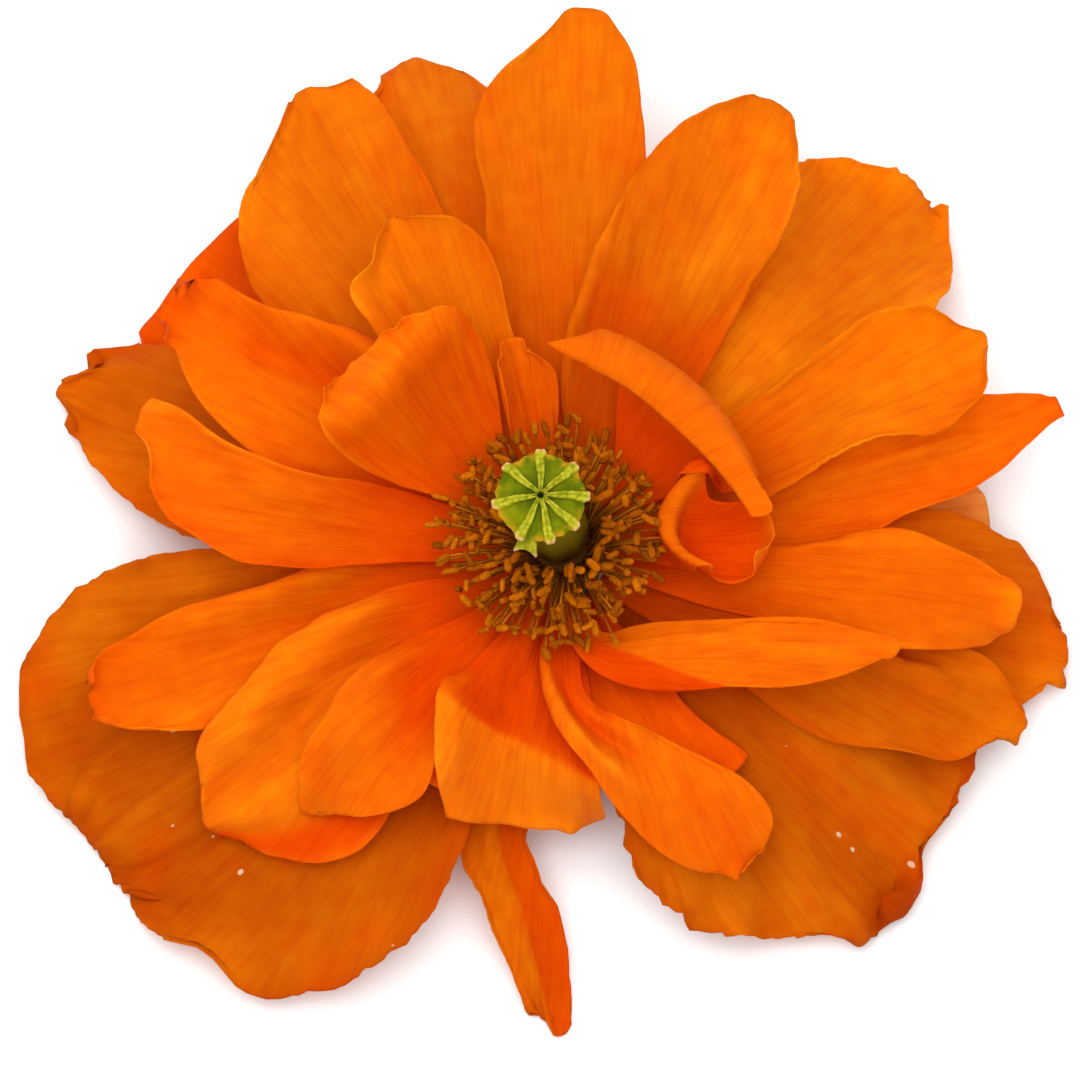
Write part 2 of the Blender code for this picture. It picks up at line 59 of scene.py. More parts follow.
CLEARANCE = 0.25
RECEPTACLE_RADIUS = 2.5
RECEPTACLE_TOP = 9.2
STALK_RADIUS = 1.3
STALK_LENGTH = 3.4
NECK_LENGTH = 0.7
PETAL_THICKNESS = 0.25
CLAW_START = RECEPTACLE_RADIUS + CLEARANCE
CLAW_HALF_WIDTH = 0.6
CLAW_HEIGHT = {"outer": 4.4, "middle": 5.2, "inner": 6.2}
SHAPED_BETWEEN = (0.1, 0.8)
MARGIN_RIPPLE = 0.2
RIPPLE_ACROSS = 5.0
RIPPLE_ALONG = 6.0
CAPSULE_BASE = RECEPTACLE_TOP + CLEARANCE
DISC_RIM_HEIGHT = 18.0
DISC_RADIUS = 2.6
CAPSULE_LEAN = (-1.2, 0.5)
CAPSULE_BOW = 1.5

# --- The petals, from the lowest to the topmost ---
# azimuth is the way a petal points, in degrees from +X. A row is a place along it: how far out and how far
# up its middle line is, how far its edges are to the left and to the right of the azimuth's line, looking
# out from the middle, and, where given, how much further out the left edge is than the right. rows are the
# CAD's. own are finer ones, which take the place of the CAD's from the first of them outwards; a sixth
# number bows a row's ends outwards, or inwards if it is negative. cup lifts both edges above the middle,
# tilt lifts the left edge and sinks the right one, and bend turns the petal to its left, by so many degrees
# between two distances along it. A curled petal keeps its shape when it is lifted clear of the others.
#
# look names a petal's colours, ragged is how far in its margin is frayed, crumple scales its wrinkles, and
# rim lifts its margin. base is where along it the shaded colour ends and the lit one is reached: painted
# shade towards the claw, partly the petal's own deeper colour there. wider is how far the margin reaches
# past the CAD's to the left, to the right and at the tip, and foot past its foot. A fold is a ridge along
# the petal, or a valley if its height is negative: at and drift say where across it runs at its start and
# how far it has moved by its end, and light is the painted light it gets, painted shade where it is
# negative. A crease runs likewise, and all that lies to one side of it, 1 for the left and -1 for the
# right, falls away and gets painted light. A band crosses the petal and gets painted light, painted shade
# where negative.

Fold = namedtuple("Fold", "at height width start end drift light", defaults=(0.0, 1.2, 0.0, 0.0))
Crease = namedtuple("Crease", "at side fall light start drift", defaults=(0.3, 0.0))
Band = namedtuple("Band", "at width light")
USUAL = dict(
    own=(), cup=0.5, tilt=0.0, bend=None, curled=False, ragged=0.0, crumple=1.0, rim=0.15,
    base=(0.1, 0.62), wider=(0.0, 0.0, 0.0), foot=0.0, folds=(), creases=(), bands=(),
)
Petal = namedtuple("Petal", ["name", "azimuth", "look", "rows", *USUAL], defaults=USUAL.values())

PETALS = (
    Petal("outer_petal_left_back_tucked", 141, "red", (
        (9, 4.2, 3.2, 3.2), (16, 3.4, 5.4, 5.4), (23, 2, 6, 6.8), (28, 0.6, 5.4, 7.2), (30.8, 0, 3.6, 6),
    ), wider=(0.1, 0, 0.2)),
    Petal("outer_petal_left", 163, "amber", (
        (9, 4.6, 3.2, 2.4), (16, 4, 5.2, 4.6), (22, 2.8, 5.2, 6), (28, 1.2, 2.8, 7.2), (31.5, 0.4, 0, 6.6),
        (33.3, 0, -2, 3),
    ), own=((31.5, 0.4, 0, 6.3), (33.3, 0, -2, 4)), ragged=0.15, crumple=1.2, base=(0.2, 0.75),
        wider=(-0.2, 0, 0.5), folds=(Fold(-0.5, 0.5, 0.15, 0.4), Fold(0.3, 0.4, 0.15, 0.5))),
    Petal("outer_petal_back_left_narrow", 106, "hazy", (
        (9, 4.8, 2.6, 2.6), (16, 4.6, 4, 4), (24, 3.4, 5, 4.8), (30, 1.6, 4.6, 4.6), (34, 0.4, 2.6, 3.4),
        (35.9, 0, 1, 1.2),
    ), own=(
        (9, 5.4, 2.6, 2.6), (16, 6.4, 4, 4), (23.7, 6, 5, 4.8), (29.6, 4, 4.6, 4.6), (33.4, 2.4, 2.6, 3.4),
        (35.2, 1.8, 1, 1.2),
    ), ragged=0.1, base=(0, 0.3), wider=(0.1, 0.3, 0.2), foot=1.2, folds=(
        Fold(0.8, 0, 0.25, 0.7, 1.3, 0, -1.2), Fold(-0.3, 0.3, 0.4, 0.5),
    )),
    Petal("outer_petal_front_narrow", 268, "amber", (
        (8, 4.2, -0.2, 2.8), (13, 3.4, -0.8, 4.6), (18, 2.4, -1, 5), (22, 1.6, 0.7, 3.6),
        (25.5, 0.6, 1.1, 1.9), (28.9, 0, 1.6, -0.4),
    ), own=(
        (13, 3.4, -1, 4.6), (18, 2.4, -1.2, 5.1), (22, 1.6, 0.6, 3.8), (25.5, 0.6, 1.2, 1.9),
        (29.1, 0, 1.7, -0.2),
    ), cup=0.6, ragged=0.12, crumple=0.7, base=(0, 0.25), wider=(0.1, 0.3, 0), folds=(
        Fold(-0.3, 0.5, 0.3, 0.3, 1.3, 0.2, 0.2),
    ), creases=(Crease(0, 1, 1.2, -0.9, 0.3, 0.1),)),
    Petal("outer_petal_left_front_broad", 216, "brown", (
        (7, 4.6, 3.6, 4.6), (12, 4.2, 8.6, 10), (17, 3.4, 12.4, 14), (23, 2.2, 13.6, 16.6),
        (28, 1, 12.4, 15.8), (32, 0.2, 6.6, 12.8), (34.2, 0, 2.4, 8.4),
    ), own=(
        (12, 4.2, 8.6, 9.4), (17, 3.4, 12.4, 12.8), (23, 2.2, 14.3, 15.8), (28, 1, 13, 15.8),
        (31.7, 0.2, 9.8, 13.5, 0, 0.2), (33.5, 0, 5, 9.4, 0, 0.9),
    ), cup=1.2, ragged=0.2, crumple=1.3, base=(0.25, 0.6), wider=(-0.2, 0.1, 0), folds=(
        Fold(-1, 1.2, 0.3, 0.1, 0.95, 0, 1.2), Fold(-0.4, 0.5, 0.06, 0.5),
        Fold(-0.1, 0.5, 0.06, 0.55, 1.2, 0, 0.2), Fold(0.14, -0.5, 0.04, 0.5, 1.2, 0, -0.3),
        Fold(0.35, 0.5, 0.06, 0.6),
    )),
    Petal("outer_petal_right_tucked", 7, "pale", (
        (10, 4.2, 3, 3), (18, 3.4, 4, 4), (24, 2, 3.6, 3.4), (27, 1.2, 2.8, 1.8),
    ), base=(0, 0.3)),
    Petal("outer_petal_right", -7, "amber", (
        (9, 4.8, 3.2, 2.6), (15, 4.2, 5, 4), (21, 3, 6, 4.6), (26, 1.6, 5.8, 5.2), (29.5, 0.5, 4.2, 4.4),
        (31.5, 0, 1.2, 2.4),
    ), ragged=0.15, base=(0.1, 0.6), wider=(0.2, 0, 0.4), folds=(Fold(0.3, 0.4, 0.3, 0.4, 1.3, 0, -0.4),)),
    Petal("outer_petal_right_front_broad", -52, "brown", (
        (7, 4.6, 3.4, 3.4), (12, 4.2, 7, 6.2), (17, 3.4, 10.5, 7.4), (21, 2.2, 12.6, 7.8), (25, 1, 12, 5.7),
        (28, 0.3, 6.5, 2), (30, 0, 3.8, -1.5),
    ), own=((25, 1, 12, 5.4), (28, 0.3, 8.4, 2), (30.2, 0, 1, -1)), cup=1, ragged=0.4, crumple=1.5,
        base=(0.2, 0.6), wider=(1.3, 0.7, -0.3), folds=(
        Fold(0.56, 0.4, 0.22, 0.4, 1.05, -0.4, 1), Fold(-0.6, 0.3, 0.4, 0.4, 1.3, 0, 0.6),
        Fold(0.97, 0, 0.12, 0.45, 1.4, 0, -1.4),
    ), bands=(Band(1, 0.07, -0.7),)),
    Petal("outer_petal_back_left_broad", 121, "hazy", (
        (9, 5.8, 3, 2.6), (16, 7, 5.4, 4.4), (23, 7.4, 6.2, 5.4), (28.5, 7.4, 5.2, 5.6),
        (31.5, 7.2, 2.6, 4.7), (33.6, 7, -0.8, 3.6),
    ), own=(
        (23, 7.4, 6.4, 5.4), (28.6, 7.4, 5.5, 5.6), (31, 7.3, 3.6, 5.6), (32.8, 7.1, 1.2, 5.3),
        (33.9, 7, -0.6, 4.6), (34.4, 7, -1.4, 3.4),
    ), cup=0.8, ragged=0.08, crumple=0.9, base=(0.1, 0.5), wider=(0.9, -0.3, 0), foot=1.2, folds=(
        Fold(-0.8, 0, 0.4, 0.2, 1.1, 0, 0.4), Fold(0.3, 0.4, 0.2, 0.4, 1.2, 0.1, 0.1),
    )),
    Petal("outer_petal_back_tall", 87, "hazy", (
        (8, 6.8, 2.2, 1.8), (14, 8.2, 3.4, 2.6), (21, 9.5, 5.2, 3.6), (28, 10.5, 6, 3.3),
        (32, 10.8, 3.4, 2.5), (34.3, 11, 1.4, 1),
    ), cup=0.8, ragged=0.04, crumple=0.8, base=(0.1, 0.7), wider=(0.35, 0.25, 0.3), foot=1.5),
    Petal("outer_petal_back_right_broad", 47, "light", (
        (9, 4.6, 3, 3.2), (15, 4.4, 4.8, 5), (21, 3.6, 6, 6.2), (27, 2.2, 7.2, 5.8), (32, 0.6, 5.8, 3.6),
        (34.6, 0, 2.6, 0.4),
    ), own=(
        (9, 5.4, 3, 3.2), (15, 6.4, 4.8, 5), (20.7, 6.4, 6, 6.2), (26.6, 4.6, 7.2, 5.8),
        (31.5, 2.4, 5.8, 3.6), (34.1, 1.4, 2.6, 0.4),
    ), ragged=0.2, crumple=1.2, base=(0, 0.3), wider=(0.4, 0.5, 0.3), foot=1.2, folds=(
        Fold(0.2, 0, 0.5, 0.2, 0.65, 0, 0.6),
    )),
    Petal("middle_petal_back_right", 64, "hazy", (
        (8, 7, 2.6, 1.4), (14, 8.3, 4.8, 1.8), (20, 9.5, 6.7, 2.4), (25, 10.2, 6, 3.2),
        (29, 10.8, 4.2, 2.2), (31.3, 11, 2, 0.6),
    ), cup=1, tilt=0.6, ragged=0.08, base=(0.44, 0.58), wider=(-0.4, 0.8, 0.1), foot=1.4, folds=(
        Fold(0.9, 0.6, 0.14, 0.15, 0.62, 0, 0.9), Fold(-0.35, 0.6, 0.25, 0.45, 1.1, 0.2, 0.4),
    )),
    Petal("middle_petal_right_front", -22, "amber", (
        (9, 5.4, 2, 2), (15, 5.6, 3, 3.4), (21, 5.4, 3.9, 3.6), (26, 4.8, 4.4, 2.2), (29, 4.2, 3.6, 0.4),
        (30.5, 4, 2.4, -1),
    ), base=(0.1, 0.6), wider=(0, 0.7, 0.2)),
    Petal("middle_petal_right_pointed", 17, "warm", (
        (8, 6.3, 1.5, 2.8), (14, 7.2, 2, 3.6), (21, 8, 2.2, 3.9), (26, 8.5, 1.8, 3.3), (30, 8.8, 1, 1.5),
        (32.7, 9, 0.3, 0.4),
    ), own=((21, 8, 1.8, 4.1), (26, 8.5, 1.3, 3.6), (30, 8.8, 0.5, 2), (32.5, 9, -0.1, 0.5)), cup=1.4,
        tilt=0.8, base=(0, 0.4), foot=0.8, folds=(Fold(0.25, 0.6, 0.2, 0.2, 0.9, 0, 0.2),), creases=(
        Crease(-0.1, -1, 0.7, -0.3, 0.2, -0.1),
    )),
    Petal("middle_petal_right", -4, "warm", (
        (8, 6.6, 1.2, 2.2), (14, 7.8, 1.6, 3.6), (20, 8.2, 2.5, 4.6), (24, 7.4, 1.7, 4.5),
        (28, 5.6, 0.8, 3), (30, 4.6, 0.2, 1),
    ), own=((24, 7.4, 2, 4.4), (27, 6.2, 1.4, 3.4), (28.6, 5.6, 0.6, 2.2)), cup=-0.6, tilt=1.2,
        base=(0.1, 0.6), folds=(Fold(0.8, 0.6, 0.2, 0.3, 0.9, 0, 0.2),)),
    Petal("middle_petal_right_back", 27, "light", (
        (8, 7, 1.6, 1.8), (14, 8.5, 2.2, 2.4), (20, 9.8, 3.7, 3.2), (25, 10.6, 3.9, 4), (28, 11, 2.3, 2.8),
        (29.4, 11, 0.6, 1),
    ), cup=1.2, ragged=0.1, base=(0.35, 0.65), wider=(0, 0.4, 0.1), foot=0.9),
    Petal("middle_petal_front_right_tucked", -55, "deep", (
        (7, 6.4, -0.4, 2.6), (10, 6.8, 0.2, 3.4), (14, 6.8, 0.8, 4), (17.5, 6, 1.9, 2.6),
    ), wider=(0.3, 0.6, 0), foot=1),
    Petal("middle_petal_left", 197, "warm", (
        (8, 6.2, 2, 2.7), (14, 7, 3.4, 3.3), (20, 7, 4.2, 3.4), (25, 6, 4.1, 3.4), (29, 4.8, 2.6, 2.3),
        (30.7, 4.2, 0.6, 0.4),
    ), own=((25, 6.2, 4, 3.2), (28, 5.9, 3.4, 2.4), (29.6, 5.9, 2.5, 1.8), (30.6, 5.9, 1.2, 0.8)),
        tilt=-0.8, base=(0.15, 0.6), folds=(
        Fold(-0.85, 0.8, 0.2, 0.25, 0.85, 0, 0.3), Fold(-0.3, -0.6, 0.25, 0.3, 0.9, 0.1, -0.25),
        Fold(0.8, 0.4, 0.2, 0.5, 0.9, 0, 0.3),
    ), bands=(Band(0.97, 0.05, 0.3),)),
    Petal("middle_petal_left_front", 219, "bright", (
        (7, 6.4, 2.4, 3.8), (12, 7.4, 4.2, 5.4), (17, 7.4, 5.6, 6.3), (22, 6, 6.6, 5.3),
        (25.8, 4.4, 3.4, 4.2), (27.6, 3.6, 0.4, 2),
    ), tilt=-0.8, base=(0.2, 0.5), folds=(
        Fold(-0.8, 1.2, 0.22, 0.2, 1, 0, 0.9), Fold(-0.35, -0.8, 0.2, 0.2, 0.85, 0, -0.1),
        Fold(0.1, 0.6, 0.25, 0.3, 1.1, 0, 1), Fold(0.7, 0, 0.3, 0.5, 1.3, 0, -1),
    )),
    Petal("middle_petal_front_left_tucked", 240, "deep", (
        (7, 6.6, 1.8, 1.8), (11, 7.4, 3, 3), (14.5, 7, 3.6, 3), (17, 6.2, 3, 1.5),
    )),
    Petal("middle_petal_front_left_apron", 232, "bright", (
        (8, 7, 1.6, 2.6), (12, 8.4, 1, 4.4), (15, 8.8, 2.2, 4.8), (18, 8, 3.2, 4.6), (20.5, 6.2, 1.6, 4.4),
        (23, 4.4, -1.2, 3.6),
    ), base=(0.4, 0.7), folds=(
        Fold(-0.6, 0.9, 0.3, 0.3, 0.9, 0, 0.4), Fold(0.2, -0.6, 0.3, 0.2, 0.8, 0, -0.3),
    ), bands=(Band(0.97, 0.05, 0.5),)),
    Petal("middle_petal_front_apron", 259, "bright", (
        (7, 7.2, 3, 3), (9.5, 8.4, 4.4, 4.6, 1), (12, 8.8, 5, 5.4, 3.2), (14, 7.6, 5.6, 5, 1.5),
        (16, 5.8, 5.6, 4.4, -1), (18, 4.2, 4.6, 3.9, -2.9),
    ), own=(
        (7, 7.2, 3, 3), (10.4, 8, 4.4, 4.6, 1.4), (12.4, 8.5, 5, 5.4, 2.6), (13.1, 8.5, 5.3, 5.4, 2.6),
        (13.8, 7.9, 5.5, 5.3, 2.4), (15, 6.6, 5.8, 5, 0.6), (16.2, 5.2, 5.8, 4.4, -1.4),
        (17.1, 4.2, 5.4, 3.7, -3),
    ), cup=0, crumple=0.7, base=(0.625, 0.67), folds=(
        Fold(-0.9, 0.5, 0.2, 0.35, 1.3, 0, 0.5), Fold(-0.3, -0.7, 0.25, 0.2, 0.7, 0.1, -0.2),
        Fold(0.4, 0.4, 0.3, 0.5, 1.3, 0, 0.3),
    ), bands=(Band(0.85, 0.2, 0.3),)),
    Petal("middle_petal_front_right", -72, "bright", (
        (6, 7.2, -0.6, 3.2), (10, 8.6, -1.4, 3.7), (14, 9, 3.2, 2.6), (18, 8.4, 5.9, 1.1),
        (21, 7.2, 7, -0.4), (22.9, 6.2, 4.6, -2.8),
    ), own=(
        (10, 8.6, -1.2, 3.8), (14, 9, 2.6, 2.9), (18, 8.4, 6.6, 1.4), (20.4, 7.4, 7.3, -0.1),
        (21.8, 6.8, 6.7, -1.2), (22.7, 6.4, 5.9, -2.3), (23.2, 6.2, 4.9, -3.3),
    ), cup=-0.5, base=(0.25, 0.6), folds=(
        Fold(-0.85, 0.9, 0.25, 0.1, 0.75, 0.3, 0.7), Fold(-0.1, -0.8, 0.3, 0.2, 0.7, 0.2, -0.4),
        Fold(0.2, 0.5, 0.3, 0.6, 1.2, 0, -0.3),
    )),
    Petal("middle_petal_left_back", 150, "warm", (
        (8, 6.8, 2, 2), (13, 8, 3.4, 4.4), (18, 9, 4, 5.5), (23, 10, 3.4, 4.1), (27, 10.8, 1.4, 3.2),
        (29.3, 11, -0.2, 1.8),
    ), tilt=-1.2, base=(0.15, 0.7), wider=(0.3, 0, -0.3), foot=0.4, folds=(
        Fold(-0.85, 1.2, 0.2, 0.25, 0.95, 0, 0.5), Fold(-0.4, -0.8, 0.2, 0.3, 0.9, 0.1, -0.5),
        Fold(0.3, 0.5, 0.3, 0.3, 0.9, 0.1, 0.1),
    )),
    Petal("middle_petal_left_cupped", 169, "bright", (
        (8, 7.2, 2, 1.8), (12, 8.4, 3.4, 1.8), (17, 9.4, 4.6, 1.6), (21, 10, 4.3, 2.2),
        (25, 10.4, 1.8, 3.7), (27.2, 10.6, -1.4, 4),
    ), cup=1.2, base=(0.2, 0.7), folds=(Fold(-0.2, -0.6, 0.3, 0.3, 0.9),), bands=(Band(0.98, 0.05, 0.4),)),
    Petal("inner_petal_back_left", 117, "light", (
        (8, 8, 1.8, 1.6), (13, 9.4, 3.2, 3.2), (17, 11, 4.4, 4.2), (20, 12.3, 4.6, 3.6), (22, 13, 1.8, 2),
        (22.7, 13.2, 0.6, 0.4),
    ), cup=1.4, base=(0.25, 0.7), foot=0.6, folds=(
        Fold(0.85, 0.7, 0.15, 0.4, 0.95, 0, 0.5), Fold(0.3, 0.4, 0.15, 0.4, 1),
    )),
    Petal("inner_petal_left_bowl", 136, "warm", (
        (7, 7.6, 2.4, 2.4), (10, 9.2, 4.6, 4.6), (13, 11.4, 6.2, 5.4), (15, 13, 5.9, 4.2), (16.1, 14, 3, 1),
    ), own=(
        (12.4, 11.8, 6.2, 5.4), (13.8, 14, 6.5, 5), (14.6, 14.5, 6.3, 4.4), (15.6, 14, 5.4, 3),
        (16.4, 13.2, 3.4, 1),
    ), curled=True, cup=1.6, base=(0, 0.9), folds=(Fold(0.1, 0.4, 0.2, 0.2, 0.8),), bands=(
        Band(0.92, 0.1, 0.8),
    )),
    Petal("inner_petal_back", 103, "warm", (
        (7, 7.4, 1, 1), (10, 8.8, 1.6, 1.6), (13, 10.6, 1.4, 1.4), (14.8, 11.6, 0.7, 0.7),
    ), own=(
        (6, 6.8, 1, 1), (8.6, 7.8, 1.7, 1.9), (11.4, 9.2, 1.8, 2), (13.4, 10.2, 1, 1.2),
    ), cup=0.8, base=(0, 1)),
    Petal("inner_petal_right_strip", -77, "bright", (
        (6, 7.2, 1, 1), (10, 9, 2, 2.2), (15, 10.4, 2, 2.4), (20.5, 11, 1.8, 2.2), (26, 11, 0.6, 0.6),
    ), cup=-0.6, bend=(77, 4.4, 9.4), crumple=0.8, base=(0, 0.3), folds=(
        Fold(0.7, 0.5, 0.4, 0.3, 0.95, -1, 0.3),
    ), creases=(Crease(0.7, -1, 0.9, -1.5, 0.1, -3.4),)),
    Petal("inner_petal_right_spoon", 3, "bright", (
        (6.6, 7.4, 1, 1), (7.4, 10, 2.4, 2.4), (8.8, 9.8, 3.2, 3.2), (10.8, 9.8, 3.4, 3.4),
        (12.5, 11, 2.6, 2.6), (13.2, 12.4, 1.2, 1.2),
    ), own=(
        (4.6, 8, 0.8, 0.8, 0, 0), (5.9, 8.8, 2.2, 1.8, 0, 1), (6.2, 10.4, 3.2, 2.7, 0, 2),
        (6.3, 11.9, 3.5, 3, 0, 2.3), (6.9, 12, 3.4, 3.2, 0, 2.2), (7.5, 10.6, 2.7, 3.3, 0, 1.7),
        (8.6, 9.4, 1.9, 3.5, 0, 0.8), (10.6, 9.2, 1.5, 3.8, 0, 0), (12.4, 10.2, 1.3, 3.5, 0, -0.4),
        (13.3, 12, 0.9, 2.4, 0, -0.6),
    ), curled=True, cup=2.2, crumple=0.2, rim=0, base=(0.6, 1.4), bands=(
        Band(0.46, 0.07, 0.9), Band(1, 0.08, 0.5),
    )),
    Petal("inner_petal_right_curled", 45, "bright", (
        (7, 7.6, 2.2, 2.2), (8, 11, 6, 6), (8.7, 14.2, 8.6, 9), (10.2, 14.8, 7.6, 8.2),
        (11.6, 13.8, 3.5, 4),
    ), own=(
        (7, 7.6, 2.2, 2.2, 0, 0), (9.6, 8.4, 4.2, 4.4, 0, -0.4), (11.6, 9.8, 5.6, 5.8, 0, -0.8),
        (12.5, 12, 6.2, 6.2, 0, -1.2), (12.2, 13.8, 7, 6.8, 0, -1.6), (11.3, 14.7, 7.5, 7.8, -0.8, -1.7),
        (10.5, 14.9, 8.2, 9, -1.6, -1.6), (9.8, 14.8, 8.5, 9, -1.6, -1.5), (9.2, 14.5, 7.2, 8.4, -0.6, -1),
    ), curled=True, cup=0, crumple=0.2, rim=0, base=(0.4, 0.6)),
)

# --- Petal surfaces, as the CAD makes them ---

ROWS_ALONG = 11
ROW_CROWDING = 1.2  # over 1 sets the rows closer at the claw than at the tip
ROW_NUMBERS = 6
COLUMNS = 7
COLUMNS_BROAD = 9
BROAD_HALF_WIDTH = 5.0
BEND_STEPS = 200

FIELD_REACH = 40.0  # half the side of the square height field
FIELD_STEP = 0.25
STEEPEST_COSINE = 0.35
TINY = 1e-9


def smooth_rows(rows, count):
    """Reads a smooth curve through the rows at count even steps along the petal."""
    rows = np.array([tuple(row) + (0.0,) * (ROW_NUMBERS - len(row)) for row in rows], float)
    steps = np.linalg.norm(np.diff(rows[:, :2], axis=0), axis=1)
    knots = np.concatenate([[0.0], np.cumsum(steps)])
    slopes = np.gradient(rows, knots, axis=0)
    places = knots[-1] * np.linspace(0.0, 1.0, count) ** ROW_CROWDING
    index = np.clip(np.searchsorted(knots, places, side="right") - 1, 0, len(knots) - 2)
    width = (knots[index + 1] - knots[index])[:, None]
    t = (places[:, None] - knots[index][:, None]) / width
    start, end = rows[index], rows[index + 1]
    return (
        start * (1 + 2 * t) * (1 - t) ** 2
        + end * t * t * (3 - 2 * t)
        + slopes[index] * width * t * (1 - t) ** 2
        - slopes[index + 1] * width * t * t * (1 - t)
    )


def smooth_step(values, start, end):
    t = np.clip((values - start) / (end - start), 0.0, 1.0)
    return t * t * (3 - 2 * t)


def whorl_of(petal):
    return petal.name.split("_")[0]


def is_broad(petal):
    return max(row[2] + row[3] for row in petal.rows) / 2 > BROAD_HALF_WIDTH


def lines_of(petal, rows, along):
    """How far out and up the petal is from its claw to its tip, and its left, right, skew and bow."""
    claw = (CLAW_START, CLAW_HEIGHT[whorl_of(petal)], CLAW_HALF_WIDTH, CLAW_HALF_WIDTH)
    return smooth_rows((claw, *rows), along).T[:, :, None]


def fine_rows(petal):
    """The petal's rows, with its own in place of the CAD's from the first of its own outwards."""
    first = petal.own[0][0] if petal.own else math.inf
    return [row for row in petal.rows if row[0] < first] + list(petal.own)


def arched(petal, v, share):
    """How far cup, tilt and the ripple of the margin raise each place, v to the left and share along."""
    wave = np.sin(RIPPLE_ACROSS * v + RIPPLE_ALONG * share + petal.azimuth) * MARGIN_RIPPLE
    return petal.cup * v * v + petal.tilt * v + wave * v * v


def bent(out, side, bend):
    """Turns the part of a petal past bend's start to the left, smoothly, in plan."""
    angle, start, end = bend
    line = np.linspace(0.0, out.max() + 1.0, BEND_STEPS)
    turn = np.radians(angle) * smooth_step(line, start, end)
    step = np.diff(line, prepend=0.0)
    x = np.interp(out, line, np.cumsum(np.cos(turn) * step))
    y = np.interp(out, line, np.cumsum(np.sin(turn) * step))
    heading = np.interp(out, line, turn)
    return x - side * np.sin(heading), y + side * np.cos(heading)


def turned(out, side, turn):
    """The x and y of distances out and to the left, for a thing that points turn radians from +X."""
    x = out * math.cos(turn) - side * math.sin(turn)
    return x, out * math.sin(turn) + side * math.cos(turn)


def placed(petal, out, side, up):
    """Turns distances out, to the side and up into points of the flower."""
    if petal.bend:
        out, side = bent(out, side, petal.bend)
    x, y = turned(out, side, math.radians(petal.azimuth))
    return np.stack([x, y, up + 0 * x], axis=2)


def petal_surface(petal):
    """The CAD petal's middle surface as an (along, across, 3) grid."""
    out, up, left, right, skew, _ = lines_of(petal, petal.rows, ROWS_ALONG)
    v = np.linspace(1.0, -1.0, COLUMNS_BROAD if is_broad(petal) else COLUMNS)[None, :]
    share = np.linspace(0.0, 1.0, ROWS_ALONG)[:, None]
    side = (left - right) / 2 + v * (left + right) / 2
    up = up + smooth_step(share, *SHAPED_BETWEEN) * arched(petal, v, share)
    return placed(petal, out + skew * v / 2, side, up)


# --- Keeping the petals clear of each other ---
# A layer says how a grid is stacked on the ones below: the gap it keeps, how thick it is, how many samples
# a side each of its cells is read at, over how many cells a lift spreads, and whether the gap is kept to
# the side as well.

Layer = namedtuple("Layer", "gap thickness samples spread wide")
CAD_LAYER = Layer(CLEARANCE, PETAL_THICKNESS, 14, 3, True)
FINE_LAYER = Layer(0.04, 0.14, 3, 10, False)


def height_field(layer):
    """A square of heights that holds the floor, before any petal lies on it."""
    side = int(2 * FIELD_REACH / FIELD_STEP) + 1
    return np.full((side, side), -layer.gap)


def sampled(grid, count):
    """Points on the grid's triangles, as (rows, columns, samples, ...), split along the same diagonals."""
    a, b = [w.reshape(-1, 1) for w in np.meshgrid(*[np.linspace(0.0, 1.0, count)] * 2)]
    p00, p10, p01, p11 = [
        corner[:, :, None]
        for corner in (grid[:-1, :-1], grid[1:, :-1], grid[:-1, 1:], grid[1:, 1:])
    ]
    lower = p00 + (p10 - p00) * a + (p11 - p10) * b
    upper = p00 + (p11 - p01) * a + (p01 - p00) * b
    return np.where(a >= b, lower, upper)


def upright_half_thickness(grid, thickness):
    """Half of the petal's thickness measured straight up, for each cell of the grid."""
    normal = np.cross(grid[1:, 1:] - grid[:-1, :-1], grid[1:, :-1] - grid[:-1, 1:])
    cosine = np.abs(normal[:, :, 2]) / np.maximum(np.linalg.norm(normal, axis=2), TINY)
    return thickness / 2 / np.clip(cosine, STEEPEST_COSINE, 1.0)


def field_cells(points):
    cells = np.round((points[..., :2] + FIELD_REACH) / FIELD_STEP).astype(int)
    return cells[..., 0], cells[..., 1]


def widened(field):
    """The field with each cell raised to the highest of its neighbours."""
    result = field.copy()
    for axis in (0, 1):
        result = np.maximum(result, np.maximum(np.roll(result, 1, axis), np.roll(result, -1, axis)))
    return result


def neighbours(values):
    """The sum of each value's four neighbours, with the grid's edges repeated beyond them."""
    wide = np.pad(values, 1, mode="edge")
    return wide[:-2, 1:-1] + wide[2:, 1:-1] + wide[1:-1, :-2] + wide[1:-1, 2:]


def stacked(grid, field, layer):
    """Raises the grid where it has to pass over the height field, and adds its top to the field."""
    points = sampled(grid, layer.samples)
    below = widened(field) if layer.wide else field
    needed = (below[field_cells(points)] + layer.gap - points[..., 2]).max(axis=2)
    needed = np.maximum(needed + upright_half_thickness(grid, layer.thickness), 0.0)
    lift = np.zeros(grid.shape[:2])
    for rows in (slice(None, -1), slice(1, None)):
        for columns in (slice(None, -1), slice(1, None)):
            lift[rows, columns] = np.maximum(lift[rows, columns], needed)
    for _ in range(layer.spread):
        lift = np.maximum(lift, neighbours(lift) / 4)
    grid = grid.copy()
    grid[:, :, 2] += lift
    points = sampled(grid, layer.samples)
    tops = points[..., 2] + upright_half_thickness(grid, layer.thickness)[:, :, None]
    np.maximum.at(field, field_cells(points), tops)
    return grid


# --- Petal surfaces, finer ---
# place and share run from 0 at the claw to 1 at the tip, place by the distance and share by the row. v runs
# from 1 at the left edge to -1 at the right. A pair of numbers is where along a petal something starts and
# where it is complete.

